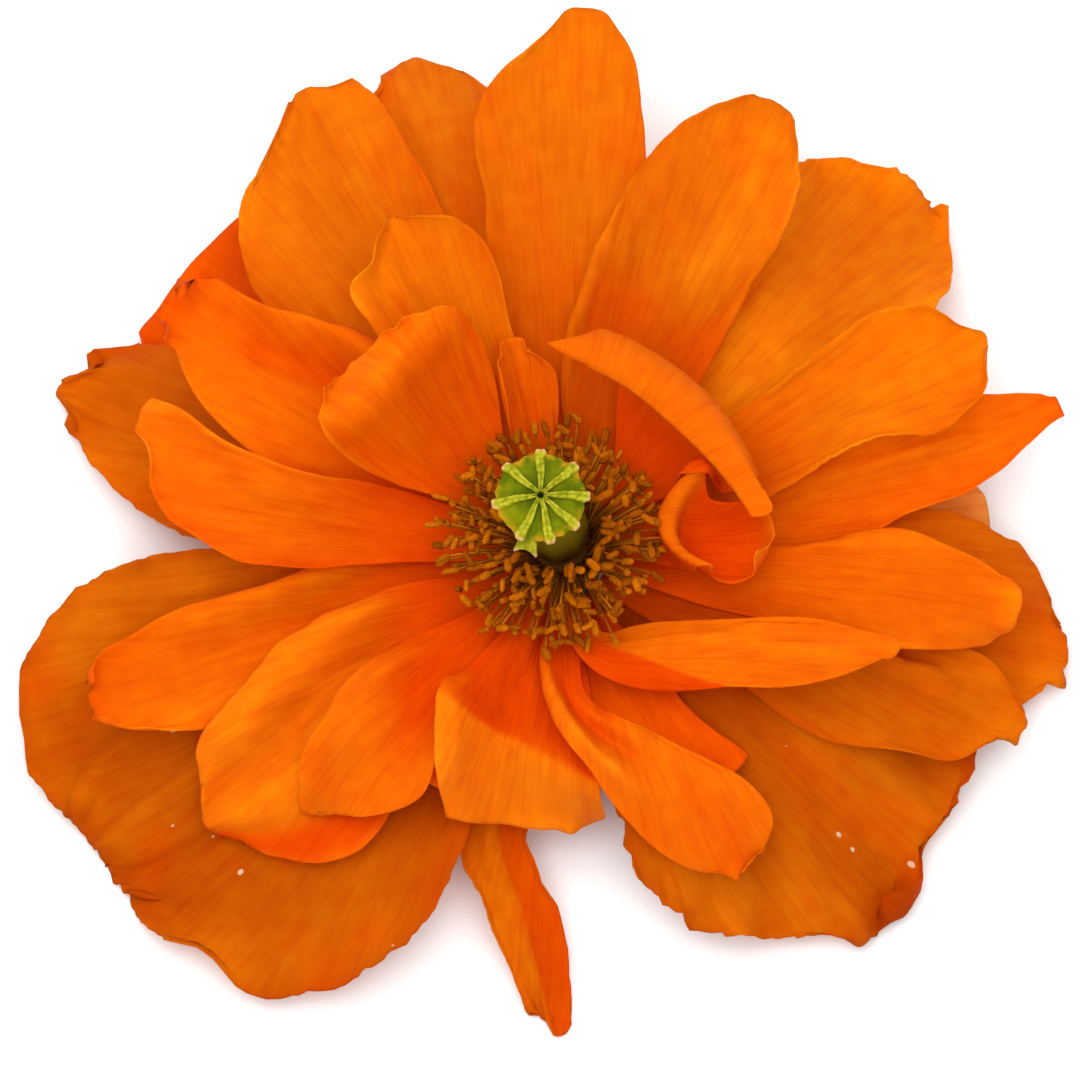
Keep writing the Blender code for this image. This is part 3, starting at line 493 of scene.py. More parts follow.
FINE_STEPS = (84, 48)  # along and across
BROAD_STEPS = (110, 96)
RIM_THICKNESS = 0.06
THIN_FROM = 0.9
LEAST_HALF_WIDTH = 0.25
ROUND_FROM = 2.2  # where a petal is narrower than this to each side, its cup, tilt and folds die out
FOOT_RISES = (0.05, 0.25)
FOOT_FALLS = (0.3, 0.65)
WIDER_FROM = (0.3, 0.6)
LONGER_FROM = (0.6, 1.0)
MARGIN_AT_TIP = (0.8, 1.0)
MARGIN_LIFTED = (0.85, 1.0)
FRAYED_FROM = (0.25, 0.6)
FRAY_POWER = 6  # how near to the margin the fraying stays
TIP_FROM = (0.82, 1.0)
TIP_CORNER = 0.9  # how far the corners of a narrow tip are drawn back
OUTER_LOW = 6.0  # outer petals that stay under this are lifted in their middles by OUTER_LIFT
OUTER_LIFT = 1.7
OUTER_RISES = (0.08, 0.35)
OUTER_FALLS = (0.55, 1.0)
OUTER_FALL = 0.7
FAN_RADIUS = 16.0  # how far from its foot a petal's veins are their stated distance apart
# the most painted light a petal's colour takes; over 1 it is a painted highlight
MOST_PAINTED_LIGHT = 1.7

# Wrinkles, as the length of a wave across the petal, its length along it, and its height.
WRINKLES = ((8.0, 20.0, 0.34), (3.2, 12.0, 0.13), (1.5, 6.0, 0.05))
CLOUDS = ((10.0, 14.0, 0.1), (4.0, 9.0, 0.06), (1.6, 12.0, 0.04))  # of colour, about a middle of 0.5
CRINKLES = ((2.2, 7.0, 0.5), (0.9, 3.0, 0.14))  # likewise, only at a frayed margin, for each part of ragged
WAVES_OF_EACH = 5
WRINKLE_SUM = 2.2  # brings a sum of that many waves back to about the height of one
FRAY_WAVES = ((5.5, 0.45), (2.1, 0.35), (0.9, 0.2))  # length, and share of the whole depth
FRAYS_OF_EACH = 3
FRAY_SUM = 1.7
ANY_PHASE = 6.3
FOLD_END = 0.2  # over how much of the petal's length a fold rises from nothing
CREASE_ROUND = 0.06  # how softly a crease turns, in half widths of the petal
WRINKLE_PAINTED_LIGHT = 0.8  # how much painted light a wrinkle of a millimetre gives its ridge, and painted shade its hollow


def rolling(places, chance):
    """A smooth irregular line of about -1 to 1, read at the places, for a frayed margin."""
    total = np.zeros_like(places)
    for length, height in FRAY_WAVES:
        for _ in range(FRAYS_OF_EACH):
            wave = 2 * math.pi * places / (length * chance.uniform(0.75, 1.3))
            total += height / FRAY_SUM * np.sin(wave + chance.uniform(0, ANY_PHASE))
    return total


def wrinkled(out, side, waves, chance):
    """How far wrinkles raise each place of a petal."""
    total = np.zeros_like(out * side)
    for across, along, height in waves:
        for _ in range(WAVES_OF_EACH):
            x = chance.normal(1.0, 0.35) / across
            y = chance.normal(0.0, 1.0) / along
            wave = 2 * math.pi * (x * side + y * out)
            total += height / WRINKLE_SUM * np.sin(wave + chance.uniform(0, ANY_PHASE))
    return total


def stretched(values, rows, columns):
    """A coarse grid of values read smoothly at a finer one."""
    old_rows, old_columns = values.shape
    down = np.linspace(0, old_rows - 1, rows)
    across = np.linspace(0, old_columns - 1, columns)
    half = np.array([np.interp(across, np.arange(old_columns), row) for row in values])
    full = np.array([np.interp(down, np.arange(old_rows), column) for column in half.T]).T
    for _ in range(int(rows / old_rows)):
        full = (neighbours(full) + 4 * full) / 8
    return full


def folded(petal, place, v):
    """How far folds and creases raise each place of a petal, and the painted light they and bands give it,
    painted shade where negative.
    """
    height, light = np.zeros_like(place * v), np.zeros_like(place * v)
    for crease in petal.creases:
        share = np.clip((place - crease.start) / (1 - crease.start), 0.0, 1.0)
        beyond = crease.side * (v - crease.at - crease.drift * share)
        run = smooth_step(place, crease.start, crease.start + FOLD_END)
        height -= crease.fall * np.sqrt(np.clip(beyond, 0.0, 2.0) ** 2 + CREASE_ROUND**2) * run
        light += crease.light * smooth_step(beyond, -CREASE_ROUND, CREASE_ROUND) * run
    for band in petal.bands:
        light += band.light * np.exp(-(((place - band.at) / band.width) ** 2))
    for fold in petal.folds:
        share = np.clip((place - fold.start) / (fold.end - fold.start), 0.0, 1.0)
        run = smooth_step(place, fold.start, fold.start + FOLD_END) * (
            1 - smooth_step(place, fold.end - FOLD_END, fold.end)
        )
        shape = np.exp(-(((v - fold.at - fold.drift * share) / fold.width) ** 2)) * run
        height += fold.height * shape
        light += fold.light * shape
    return height, light


def outline(petal, lines, place, v, chance):
    """The petal in plan, with its frayed margin: how far out and to the side, and half of its width."""
    out, _, left, right, skew, bow = lines
    foot = petal.foot * smooth_step(place, *FOOT_RISES) * (1 - smooth_step(place, *FOOT_FALLS))
    wider_here = smooth_step(place, *WIDER_FROM)
    left = left + foot + petal.wider[0] * wider_here
    right = right + foot + petal.wider[1] * wider_here
    out = out + petal.wider[2] * smooth_step(place, *LONGER_FROM)
    half = np.maximum((left + right) / 2, LEAST_HALF_WIDTH)
    fray_left, fray_right = [rolling(out, chance) for _ in range(2)]
    fray_tip = rolling(v * half[-1], chance)
    fray = np.where(v > 0, fray_left, fray_right) * smooth_step(place, *FRAYED_FROM)
    side = (left - right) / 2 + v * (half - petal.ragged * fray * np.abs(v) ** FRAY_POWER)
    out = out + skew * v / 2 + bow * v * v
    corner = TIP_CORNER * np.minimum(half[-1], 1 / half[-1]) * np.abs(v) ** np.maximum(2.5, 1.5 * half[-1])
    return out - smooth_step(place, *TIP_FROM) * (corner + petal.ragged * fray_tip), side, half


def fine_surface(petal, lift, chance):
    """The petal's middle surface at the fine step, the marks that colour it, among them its painted light
    and shade, and its map for veins.
    """
    rows, columns = BROAD_STEPS if is_broad(petal) else FINE_STEPS
    v = np.linspace(1.0, -1.0, columns)[None, :]
    share = np.linspace(0.0, 1.0, rows)[:, None]
    place = share**ROW_CROWDING
    edge = np.maximum(np.abs(v), smooth_step(place, *MARGIN_AT_TIP))
    lines = lines_of(petal, fine_rows(petal), rows)
    out, side, half = outline(petal, lines, place, v, chance)

    up = lines[1]
    if whorl_of(petal) == "outer" and up.max() < OUTER_LOW:
        falls = 1 - OUTER_FALL * smooth_step(place, *OUTER_FALLS)
        up = up + OUTER_LIFT * smooth_step(place, *OUTER_RISES) * falls
    shaped = smooth_step(share, *SHAPED_BETWEEN)
    flattened = np.minimum(half / ROUND_FROM, 1.0)
    up = up + shaped * flattened * arched(petal, v, share)
    height, light = folded(petal, place, v)
    up = up + stretched(lift, rows, columns) + shaped * petal.rim * smooth_step(edge, *MARGIN_LIFTED)
    grid = placed(petal, out, side, up + height * flattened)

    reach = np.hypot(out, side)
    fan = np.arctan2(side, out) * FAN_RADIUS
    bumps = wrinkled(reach, fan, WRINKLES, chance) * petal.crumple * shaped * (0.5 + edge**3)
    bumps = bumps + wrinkled(reach, fan, CRINKLES, chance) * petal.ragged * shaped * edge**8
    grid = grid + grid_normals(grid) * bumps[:, :, None]
    # painted shade towards the claw, where the bowl lies in shade, partly the petal's own deeper colour
    # there, with the painted light and shade of folds, creases, bands and wrinkles
    tone = smooth_step(place, *petal.base) + light + WRINKLE_PAINTED_LIGHT * bumps
    cloud = np.clip(0.5 + wrinkled(reach, fan, CLOUDS, chance), 0.0, 1.0)
    marks = {"edge": edge + 0 * out, "tone": np.clip(tone, 0.0, MOST_PAINTED_LIGHT), "cloud": cloud}
    return grid, marks, np.stack([fan, reach], axis=2)


# --- Meshes ---


def grid_normals(grid):
    normals = np.cross(np.gradient(grid, axis=1), np.gradient(grid, axis=0))
    return normals / np.linalg.norm(normals, axis=2, keepdims=True)


def add_piece(name, points, faces, materials, nodes, slot, values=None, uv=None, kinds=None):
    """Makes a piece that stands for CAD nodes. values are named numbers for each point, and kinds are
    the place in materials of each face's own."""
    mesh = bpy.data.meshes.new(name)
    points = np.array(points, float) * MM + np.array([AXIS.x, AXIS.y, 0.0])
    mesh.from_pydata(points.tolist(), [], [tuple(int(i) for i in face) for face in faces])
    for label, numbers in (values or {}).items():
        mesh.attributes.new(label, "FLOAT", "POINT").data.foreach_set("value", np.ravel(numbers))
    if uv is not None:
        corners = np.zeros(len(mesh.loops), int)
        mesh.loops.foreach_get("vertex_index", corners)
        layer = mesh.uv_layers.new(name="UVMap")
        layer.data.foreach_set("uv", np.asarray(uv, float)[corners].ravel())
    for material in materials:
        mesh.materials.append(material)
    if kinds is not None:
        mesh.polygons.foreach_set("material_index", np.asarray(kinds, int))
    mesh.polygons.foreach_set("use_smooth", [True] * len(mesh.polygons))
    piece = bpy.data.objects.new(name, mesh)
    bpy.context.scene.collection.objects.link(piece)
    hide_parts(*nodes)
    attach(piece, "root")


def sheet(grid, thickness):
    """Points and faces of the closed sheet that has the grid as its middle surface."""
    rows, columns = grid.shape[:2]
    offset = grid_normals(grid) * thickness[:, :, None] / 2
    points = np.concatenate([(grid + offset).reshape(-1, 3), (grid - offset).reshape(-1, 3)])
    index = np.arange(rows * columns).reshape(rows, columns)
    corners = [part.ravel() for part in (index[:-1, :-1], index[:-1, 1:], index[1:, 1:], index[1:, :-1])]
    top = np.stack(corners, axis=1)
    under = np.stack(corners[::-1], axis=1) + rows * columns
    rim = np.array([*index[0, :], *index[1:, -1], *index[-1, -2::-1], *index[-2:0:-1, 0]])
    ahead = np.roll(rim, -1)
    edge = np.stack([ahead, rim, rim + rows * columns, ahead + rows * columns], axis=1)
    return points, np.concatenate([top, under, edge])


def ring_faces(rings, around):
    """Faces of a closed tube of rings of points, with its two ends."""
    index = np.arange(rings * around).reshape(rings, around)
    ahead = np.roll(index, -1, axis=1)
    quads = np.stack([part.ravel() for part in (index[:-1], ahead[:-1], ahead[1:], index[1:])], axis=1)
    return [*quads.tolist(), index[0, ::-1].tolist(), index[-1].tolist()]


def add_petals():
    low, fine = height_field(CAD_LAYER), height_field(FINE_LAYER)
    for number, petal in enumerate(PETALS):
        chance = np.random.default_rng(number + 1)
        plain = petal_surface(petal)
        lift = (stacked(plain, low, CAD_LAYER) - plain)[:, :, 2]
        if petal.curled:
            lift = np.full_like(lift, lift.mean())
        grid, marks, uv = fine_surface(petal, lift, chance)
        grid = stacked(grid, fine, FINE_LAYER)
        thinner = (RIM_THICKNESS - FINE_LAYER.thickness) * smooth_step(marks["edge"], THIN_FROM, 1.0)
        add_piece(
            petal.name + "_sheet",
            *sheet(grid, FINE_LAYER.thickness + thinner),
            [petal_material(petal, number)],
            [petal.name],
            whorl_of(petal) + "_petals",
            {label: np.tile(mark.ravel(), 2) for label, mark in marks.items()},
            np.tile(uv.reshape(-1, 2), (2, 1)),
        )


# --- Materials ---


class Shading:
    """A material and short ways to add its nodes. A colour is red, green and blue, or another's output."""

    def __init__(self, name):
        self.material = bpy.data.materials.new(name)
        self.material.use_nodes = True
        self.tree = self.material.node_tree
        self.tree.nodes.clear()

    def add(self, kind, sockets=(), **settings):
        """Adds a node. sockets are pairs of a socket's name or number and what it is set or linked to."""
        node = self.tree.nodes.new(kind)
        for name, value in settings.items():
            setattr(node, name, value)
        for name, value in sockets:
            socket = node.inputs[name]
            if isinstance(value, bpy.types.NodeSocket):
                self.tree.links.new(value, socket)
            else:
                socket.default_value = (*value, 1.0) if socket.type == "RGBA" else value
        return node

    def maths(self, operation, *values):
        return self.add("ShaderNodeMath", list(enumerate(values)), operation=operation).outputs[0]

    def times(self, first, second):
        return self.maths("MULTIPLY", first, second)

    def value(self, name):
        return self.add("ShaderNodeAttribute", attribute_name=name).outputs["Fac"]

    def between(self, value, low, high):
        """0 where the value is low, 1 where it is high, and smooth between them."""
        sockets = [("Value", value), ("From Min", low), ("From Max", high)]
        return self.add("ShaderNodeMapRange", sockets, interpolation_type="SMOOTHSTEP").outputs[0]

    def mixed(self, share, first, second, blend="MIX"):
        sockets = [(0, share), (6, first), (7, second)]
        return self.add("ShaderNodeMix", sockets, data_type="RGBA", blend_type=blend).outputs[2]

    def tinted(self, colour, tint):
        return self.mixed(1.0, colour, tint, "MULTIPLY")

    def clouded(self, pattern, first, second):
        """The first colour where a pattern is low, and the second where it is high."""
        return self.mixed(self.between(pattern, 0.35, 0.65), first, second)

    def noise(self, vector, scale, detail=3.0, dimensions="3D"):
        sockets = [("Vector", vector), ("Scale", scale), ("Detail", detail)]
        return self.add("ShaderNodeTexNoise", sockets, noise_dimensions=dimensions).outputs[0]

    def place(self):
        return self.add("ShaderNodeTexCoord").outputs["Object"]

    def mapped(self, vector, scale, turn=0.0, shift=(0.0, 0.0, 0.0)):
        turned_by = (0.0, 0.0, turn)
        sockets = [("Vector", vector), ("Scale", scale), ("Rotation", turned_by), ("Location", shift)]
        return self.add("ShaderNodeMapping", sockets).outputs[0]

    def bump(self, height, strength, distance):
        sockets = [("Height", height), ("Strength", strength), ("Distance", distance * MM)]
        return self.add("ShaderNodeBump", sockets).outputs[0]

    def principled(self, colour, roughness, specular, tint=(1.0, 1.0, 1.0), normal=None):
        sockets = [("Base Color", colour), ("Roughness", roughness), ("Specular IOR Level", specular)]
        sockets.append(("Specular Tint", tint))
        if normal is not None:
            sockets.append(("Normal", normal))
        return self.add("ShaderNodeBsdfPrincipled", sockets).outputs[0]

    def finished(self, surface):
        self.add("ShaderNodeOutputMaterial", [("Surface", surface)])
        return self.material


# A look's first colour is where a petal has painted light, and its second where it has painted shade,
# partly the petal's own deeper colour at its claw. spots is how strongly it is reddened in spots, glow is
# how much of the light comes through it, and dried is how far its margin has browned. The looks are lighter
# and darker copies of one orange, given petal by petal for the light each gets: the darkest two paint shade
# on tucked petals, "pale" paints light on a petal that lies in shade, and "amber" and "brown" are partly
# painted shade on the low outer petals and partly their browned colour.
Look = namedtuple("Look", "lit deep spots glow dried", defaults=(0.0,))

LOOKS = {
    "light": Look((0.92, 0.26, 0.003), (0.88, 0.165, 0.002), 0.2, 0.55),
    "bright": Look((0.96, 0.225, 0.003), (0.93, 0.1, 0.001), 0.15, 0.5),
    "warm": Look((0.94, 0.205, 0.002), (0.92, 0.105, 0.001), 0.25, 0.5),
    "hazy": Look((0.84, 0.215, 0.003), (0.82, 0.13, 0.002), 0.25, 0.55),
    "amber": Look((0.78, 0.185, 0.002), (0.78, 0.1, 0.001), 0.25, 0.5, 0.5),
    "brown": Look((0.69, 0.155, 0.002), (0.62, 0.09, 0.001), 0.35, 0.55, 1.0),
    "deep": Look((0.9, 0.13, 0.001), (0.84, 0.075, 0.001), 0.3, 0.4),
    "red": Look((0.85, 0.11, 0.001), (0.75, 0.075, 0.001), 0.5, 0.4),
    "pale": Look((1.0, 0.36, 0.06), (1.0, 0.3, 0.04), 0.05, 0.55),
}
PAINTED_HIGHLIGHT = (1.12, 1.35, 1.6)  # painted highlight: multiplies the lit colour where the painted light is well over 1
PAINTED_EDGE_LIGHT = (1.05, 1.25, 1.6)  # painted light: multiplies the colour of a margin that has not dried, lit through its thin edge
REDDENED = (0.9, 0.085, 0.001)
DRIED = (0.5, 0.06, 0.002)
# painted highlight: the pale colour of the glossy flecks
PAINTED_FLECK_HIGHLIGHT = (0.9, 0.72, 0.5)
FLECK_ROUGHNESS = (0.2, 0.2, 0.2)
PETAL_GLOSS = (1.0, 0.3, 0.02)

# A pattern repeats so many times in a millimetre, across the petal and along it. It has a turn and a level
# of detail, and from low to high it darkens less and less, at most by its tint.
Pattern = namedtuple("Pattern", "scale turn detail low high tint")
VEINS = Pattern((3.4, 0.18, 1.0), 0.0, 1.0, 0.3, 0.55, (0.96, 0.86, 0.84))
FINE_VEINS = Pattern((7.5, 0.4, 1.0), 0.0, 0.0, 0.3, 0.6, (0.97, 0.9, 0.88))
CREPE = Pattern((1.0, 0.8, 1.0), 0.7, 3.0, 0.35, 0.65, (0.97, 0.88, 0.88))
CLOUD_SPAN = (0.3, 0.6)
CLOUD_TINT = (0.97, 0.91, 0.91)
FLECK_CELLS = (1.7, 0.8, 1.0)
FLECK_SIZE = 0.17  # of a cell
FLECKED_CELLS = 0.93  # a cell with a higher random number than this holds a fleck
FLECK_CLOUDS = (0.5, 0.56)
SPOT_CLOUDS = (0.5, 0.72)
EDGE_CLOUDS = (0.4, 0.65)
LIT_MARGIN = (0.9, 1.0)
LIT_SHARE = 0.5
DRIED_MARGIN = (1.0, 1.2)  # once the crepe has roughened the edge by DRIED_ROUGH
DRIED_ROUGH = 0.25
DRIED_SHARE = 0.6
ROUGHNESS = (("To Min", 0.5), ("To Max", 0.72))
PATTERN_SHIFT = (7.3, 3.1, 1.0)  # from one petal's patterns to the next one's


def petal_colour(shading, look, edge, cloud, patterns):
    """A petal's colour, without flecks, from its painted light and shade and its patterns."""
    # painted light and shade: 0 takes the shaded colour, 1 the lit one, and more a painted highlight
    tone = shading.value("tone")
    colour = shading.mixed(tone, look.deep, look.lit)
    # painted highlight where the painted light is over 1
    colour = shading.mixed(shading.between(tone, 1.0, MOST_PAINTED_LIGHT), colour, shading.tinted(colour, PAINTED_HIGHLIGHT))
    spotted = shading.times(shading.between(cloud, *SPOT_CLOUDS), look.spots)
    colour = shading.mixed(spotted, colour, REDDENED)
    colour = shading.mixed(shading.between(cloud, *CLOUD_SPAN), shading.tinted(colour, CLOUD_TINT), colour)
    for kind, pattern in patterns.items():
        share = shading.between(pattern, kind.low, kind.high)
        colour = shading.mixed(share, shading.tinted(colour, kind.tint), colour)
    if look.dried:
        ragged = shading.maths("ADD", edge, shading.times(patterns[CREPE], DRIED_ROUGH))
        withered = shading.times(shading.between(ragged, *DRIED_MARGIN), DRIED_SHARE * look.dried)
        return shading.mixed(withered, colour, DRIED)
    # painted light along the thin margin, in patches
    lit = shading.times(shading.between(edge, *LIT_MARGIN), shading.between(cloud, *EDGE_CLOUDS))
    return shading.mixed(shading.times(lit, LIT_SHARE), colour, shading.tinted(colour, PAINTED_EDGE_LIGHT))


def petal_material(petal, number):
    look = LOOKS[petal.look]
    shading = Shading(petal.name + "_petal")
    flat = shading.add("ShaderNodeUVMap", uv_map="UVMap").outputs[0]
    shift = [number * step for step in PATTERN_SHIFT]
    patterns = {
        kind: shading.noise(shading.mapped(flat, kind.scale, kind.turn, shift), 1.0, kind.detail, "2D")
        for kind in (VEINS, FINE_VEINS, CREPE)
    }
    edge, cloud = shading.value("edge"), shading.value("cloud")
    colour = petal_colour(shading, look, edge, cloud, patterns)
    roughness = shading.add("ShaderNodeMapRange", [("Value", patterns[CREPE]), *ROUGHNESS]).outputs[0]
    if look.dried == 1.0:
        cells = shading.mapped(flat, FLECK_CELLS, 0.0, shift)
        colour, roughness = flecked(shading, cells, cloud, colour, roughness)

    bump = shading.bump(patterns[VEINS], 0.5, 0.1)
    surface = shading.principled(colour, roughness, 0.2, PETAL_GLOSS, bump)
    paler = shading.add("ShaderNodeGamma", [("Color", colour), ("Gamma", 0.5)]).outputs[0]
    through = shading.add("ShaderNodeBsdfTranslucent", [("Color", paler), ("Normal", bump)]).outputs[0]
    sockets = [(0, look.glow), (1, surface), (2, through)]
    return shading.finished(shading.add("ShaderNodeMixShader", sockets).outputs[0])


def flecked(shading, vector, cloud, colour, roughness):
    """Adds clusters of tiny glossy flecks to a dried petal, their pale colour a painted highlight."""
    sockets = [("Vector", vector), ("Scale", 1.0)]
    cells = shading.add("ShaderNodeTexVoronoi", sockets, voronoi_dimensions="2D")
    parts = shading.add("ShaderNodeSeparateColor", [("Color", cells.outputs["Color"])])
    size = shading.times(parts.outputs[2], FLECK_SIZE)
    near = shading.maths("LESS_THAN", cells.outputs["Distance"], size)
    clustered = shading.times(near, shading.between(cloud, *FLECK_CLOUDS))
    white = shading.times(clustered, shading.maths("GREATER_THAN", parts.outputs[0], FLECKED_CELLS))
    return shading.mixed(white, colour, PAINTED_FLECK_HIGHLIGHT), shading.mixed(white, roughness, FLECK_ROUGHNESS)


# --- Seed capsule ---

RAY_TURNS = (90, 43, 1, -41, -78, -116, -171, 138)  # degrees from +X
CAPSULE_AROUND = 256
CAPSULE_TALL = DISC_RIM_HEIGHT - CAPSULE_BASE
BARREL_OUTLINE = (  # radius and height, as shares of the disc's radius and of the capsule's height
    (0.42, 0.0), (0.48, 0.11), (0.76, 0.3), (0.81, 0.5), (0.72, 0.78), (0.64, 0.9), (0.7, 0.93),
)
BARREL_RINGS = 36
COLLAR_RINGS = 14
RIB_HEIGHT = 0.025  # of the radius, on the barrel and on the stalk
DISC_RINGS = 44
DISC_SPREAD = 2.78  # the disc's own radius; its narrowed rays reach further
DISC_DOME = 0.5
DISC_LIP = 0.085  # how far the rim between the rays is turned up
RAY_HALF_WIDTH = 0.42
RAY_HEIGHT = 0.34
RAY_REACH = 0.3
RAY_WAVER = 0.06
RAY_FUZZ = 0.035
HUB_FROM = (0.02, 0.1)  # of the disc's radius: the rays die out over this, round a small pit
HUB_DEPTH = 0.4
SCALLOPS = ((0.04, 11, 0), (0.03, 23, 1))  # depth, number round the disc and start
GROOVE_DEPTH = 0.45  # of a ray's height
GROOVE_WIDTH = 0.34  # of a ray's width
FLAP_TURN = math.radians(-107)  # where a torn flap hangs out from under the disc
FLAP_STEPS = 14
FLAP_THICKNESS = 0.22
GREEN_GLOSS = (1.0, 0.9, 0.1)


def nearest_ray(turns):
    """For each turn, the angle in radians to the nearest ray."""
    rays = np.radians(RAY_TURNS)
    gaps = (turns[:, None] - rays[None, :] + math.pi) % (2 * math.pi) - math.pi
    return gaps[np.arange(len(turns)), np.abs(gaps).argmin(axis=1)]


def disc_edge(turns, to_ray):
    """The disc's outline: it stands out at each ray and is scalloped between them."""
    at_ray = 1 - smooth_step(np.abs(to_ray) * DISC_RADIUS, 0.16, 0.42)
    scallops = sum(depth * np.sin(number * turns + start) for depth, number, start in SCALLOPS)
    return DISC_SPREAD + scallops * (1 - at_ray) + at_ray * RAY_REACH


def disc_top(share, turns, to_ray, radius, fuzz):
    """The heights of a ring of the disc, how far each point is up on a ray, and how far outside the hub."""
    off = np.abs(to_ray * radius + RAY_WAVER * np.sin(8 * share + 3 * (turns - to_ray)) * share)
    width = RAY_HALF_WIDTH * (0.3 + 0.7 * share)
    ridge = np.clip(1 - (off / width) ** 2, 0, 1) ** 0.6
    grooved = ridge * (1 - GROOVE_DEPTH * np.exp(-((off / (GROOVE_WIDTH * width)) ** 2)))
    hub = smooth_step(share, *HUB_FROM)
    height = DISC_RIM_HEIGHT + DISC_DOME * (1 - share**2) + RAY_HEIGHT * grooved * hub
    height = height - HUB_DEPTH * (1 - hub) + RAY_FUZZ * fuzz * ridge
    return height + DISC_LIP * smooth_step(share, 0.9, 1.0) * (1 - ridge), grooved, hub


def add_capsule():
    """A barrel, a collar that spreads from its neck to the disc's rim, the disc, and a torn flap."""
    turns = np.linspace(0, 2 * math.pi, CAPSULE_AROUND, endpoint=False)
    to_ray = nearest_ray(turns)
    edge = disc_edge(turns, to_ray)
    fuzz = np.random.default_rng(5).normal(0, 1, (DISC_RINGS, CAPSULE_AROUND))
    rings, marks = [], []

    def ring(radius, height, ray=0.0, tip=0.0, rim=1.0):
        """Adds a ring, with how far its points are on a ray, at a ray's tip and out to the rim."""
        risen = np.clip((height - CAPSULE_BASE) / CAPSULE_TALL, 0, 1)
        x = radius * np.cos(turns) + CAPSULE_LEAN[0] * risen**CAPSULE_BOW
        y = radius * np.sin(turns) + CAPSULE_LEAN[1] * risen**CAPSULE_BOW
        rings.append(np.stack([x, y, height + 0 * x], axis=1))
        marks.append([mark + 0 * x for mark in (ray, tip, rim, risen)])

    radii, heights = np.array(BARREL_OUTLINE).T
    for share in np.linspace(0, 1, BARREL_RINGS):
        height = share * heights[-1]
        ribs = 1 + RIB_HEIGHT * np.cos(len(RAY_TURNS) * turns) * math.sin(math.pi * share)
        ring(np.interp(height, heights, radii) * DISC_RADIUS * ribs, CAPSULE_BASE + height * CAPSULE_TALL)
    neck = radii[-1] * DISC_RADIUS
    at_ray = 1 - smooth_step(np.abs(to_ray) * DISC_RADIUS, 0.1, 0.35)
    for share in np.linspace(0, 1, COLLAR_RINGS):
        height = CAPSULE_BASE + (heights[-1] + (1 - heights[-1]) * share) * CAPSULE_TALL
        tip = at_ray * smooth_step(share, 0.4, 1.0)
        ring(neck + (edge - neck) * share**0.45, height, at_ray * share, tip)
    for share, rough in zip(np.maximum(np.linspace(1, 0, DISC_RINGS), HUB_FROM[0]), fuzz):
        height, grooved, hub = disc_top(share, turns, to_ray, edge * share, rough)
        ring(edge * share, height, grooved * hub, grooved * smooth_step(share, 0.88, 0.98), share)

    flap, flap_faces, tips = capsule_flap()
    points = np.array(rings).reshape(-1, 3)
    faces = ring_faces(len(rings), CAPSULE_AROUND) + (flap_faces + len(points)).tolist()
    marks = np.array(marks).transpose(1, 0, 2).reshape(4, -1)
    flap_marks = (0.6 + 0 * tips, tips, 0.9 + 0 * tips, 1 + 0 * tips)
    labels = ("ray", "tip", "rim", "height")
    values = {label: np.append(*pair) for label, *pair in zip(labels, marks, flap_marks)}
    points = np.concatenate([points, flap])
    add_piece("seed_capsule_body", points, faces, [capsule_material()], ["seed_capsule"], "capsule", values)


def capsule_flap():
    """A small green flap with two pink-tipped lobes, torn from the disc's rim."""
    across = np.linspace(-1, 1, FLAP_STEPS)[None, :]
    along = np.linspace(0, 1, FLAP_STEPS)[:, None]
    lobes = 1 - 0.2 * (1 - across**2) * along
    out = DISC_SPREAD - 0.5 + 1.05 * along * lobes
    up = DISC_RIM_HEIGHT - 0.35 - 0.9 * along**1.5 + 0.18 * np.cos(3 * across) * along
    x, y = turned(out, across * (0.45 + 0.3 * along), FLAP_TURN)
    grid = np.stack([x + CAPSULE_LEAN[0], y + CAPSULE_LEAN[1], up], axis=2)
    tips = smooth_step(along, 0.75, 1.0) * smooth_step(np.abs(across), 0.3, 0.8)
    return *sheet(grid, np.full(grid.shape[:2], FLAP_THICKNESS)), np.tile(tips.ravel(), 2)


def capsule_material():
    """Pale rough rays on a green disc with a brown rim, with painted shade that darkens the disc towards
    its hub and the barrel towards its foot.
    """
    shading = Shading("seed_capsule_green")
    spot = shading.place()
    grain, cloud = shading.noise(spot, 3200.0), shading.noise(spot, 700.0)
    ray, tip, rim, height = [shading.value(name) for name in ("ray", "tip", "rim", "height")]
    recess = shading.clouded(cloud, (0.07, 0.1, 0.0005), (0.17, 0.19, 0.001))
    # painted shade: the green between the rays darkens towards the hub, where the recess lies in shade
    recess = shading.mixed(shading.between(rim, 0.0, 0.75), (0.03, 0.05, 0.0005), recess)
    browned = shading.times(shading.between(rim, 0.8, 1.0), shading.between(cloud, 0.4, 0.6))
    recess = shading.mixed(browned, recess, (0.42, 0.2, 0.006))
    ridged = shading.mixed(shading.between(grain, 0.35, 0.6), (0.22, 0.24, 0.003), (0.46, 0.42, 0.025))
    colour = shading.mixed(shading.between(ray, 0.25, 0.8), recess, ridged)
    colour = shading.mixed(shading.between(tip, 0.3, 0.9), colour, (0.62, 0.34, 0.15))
    # painted shade: the barrel darkens towards its foot, down among the stamens
    barrel = shading.mixed(shading.between(height, 0.3, 0.9), (0.05, 0.02, 0.0003), (0.15, 0.11, 0.002))
    colour = shading.mixed(shading.between(height, 0.9, 0.96), barrel, colour)
    bump = shading.bump(grain, 0.6, 0.06)
    return shading.finished(shading.principled(colour, 0.55, 0.2, GREEN_GLOSS, bump))


# --- Stamens ---

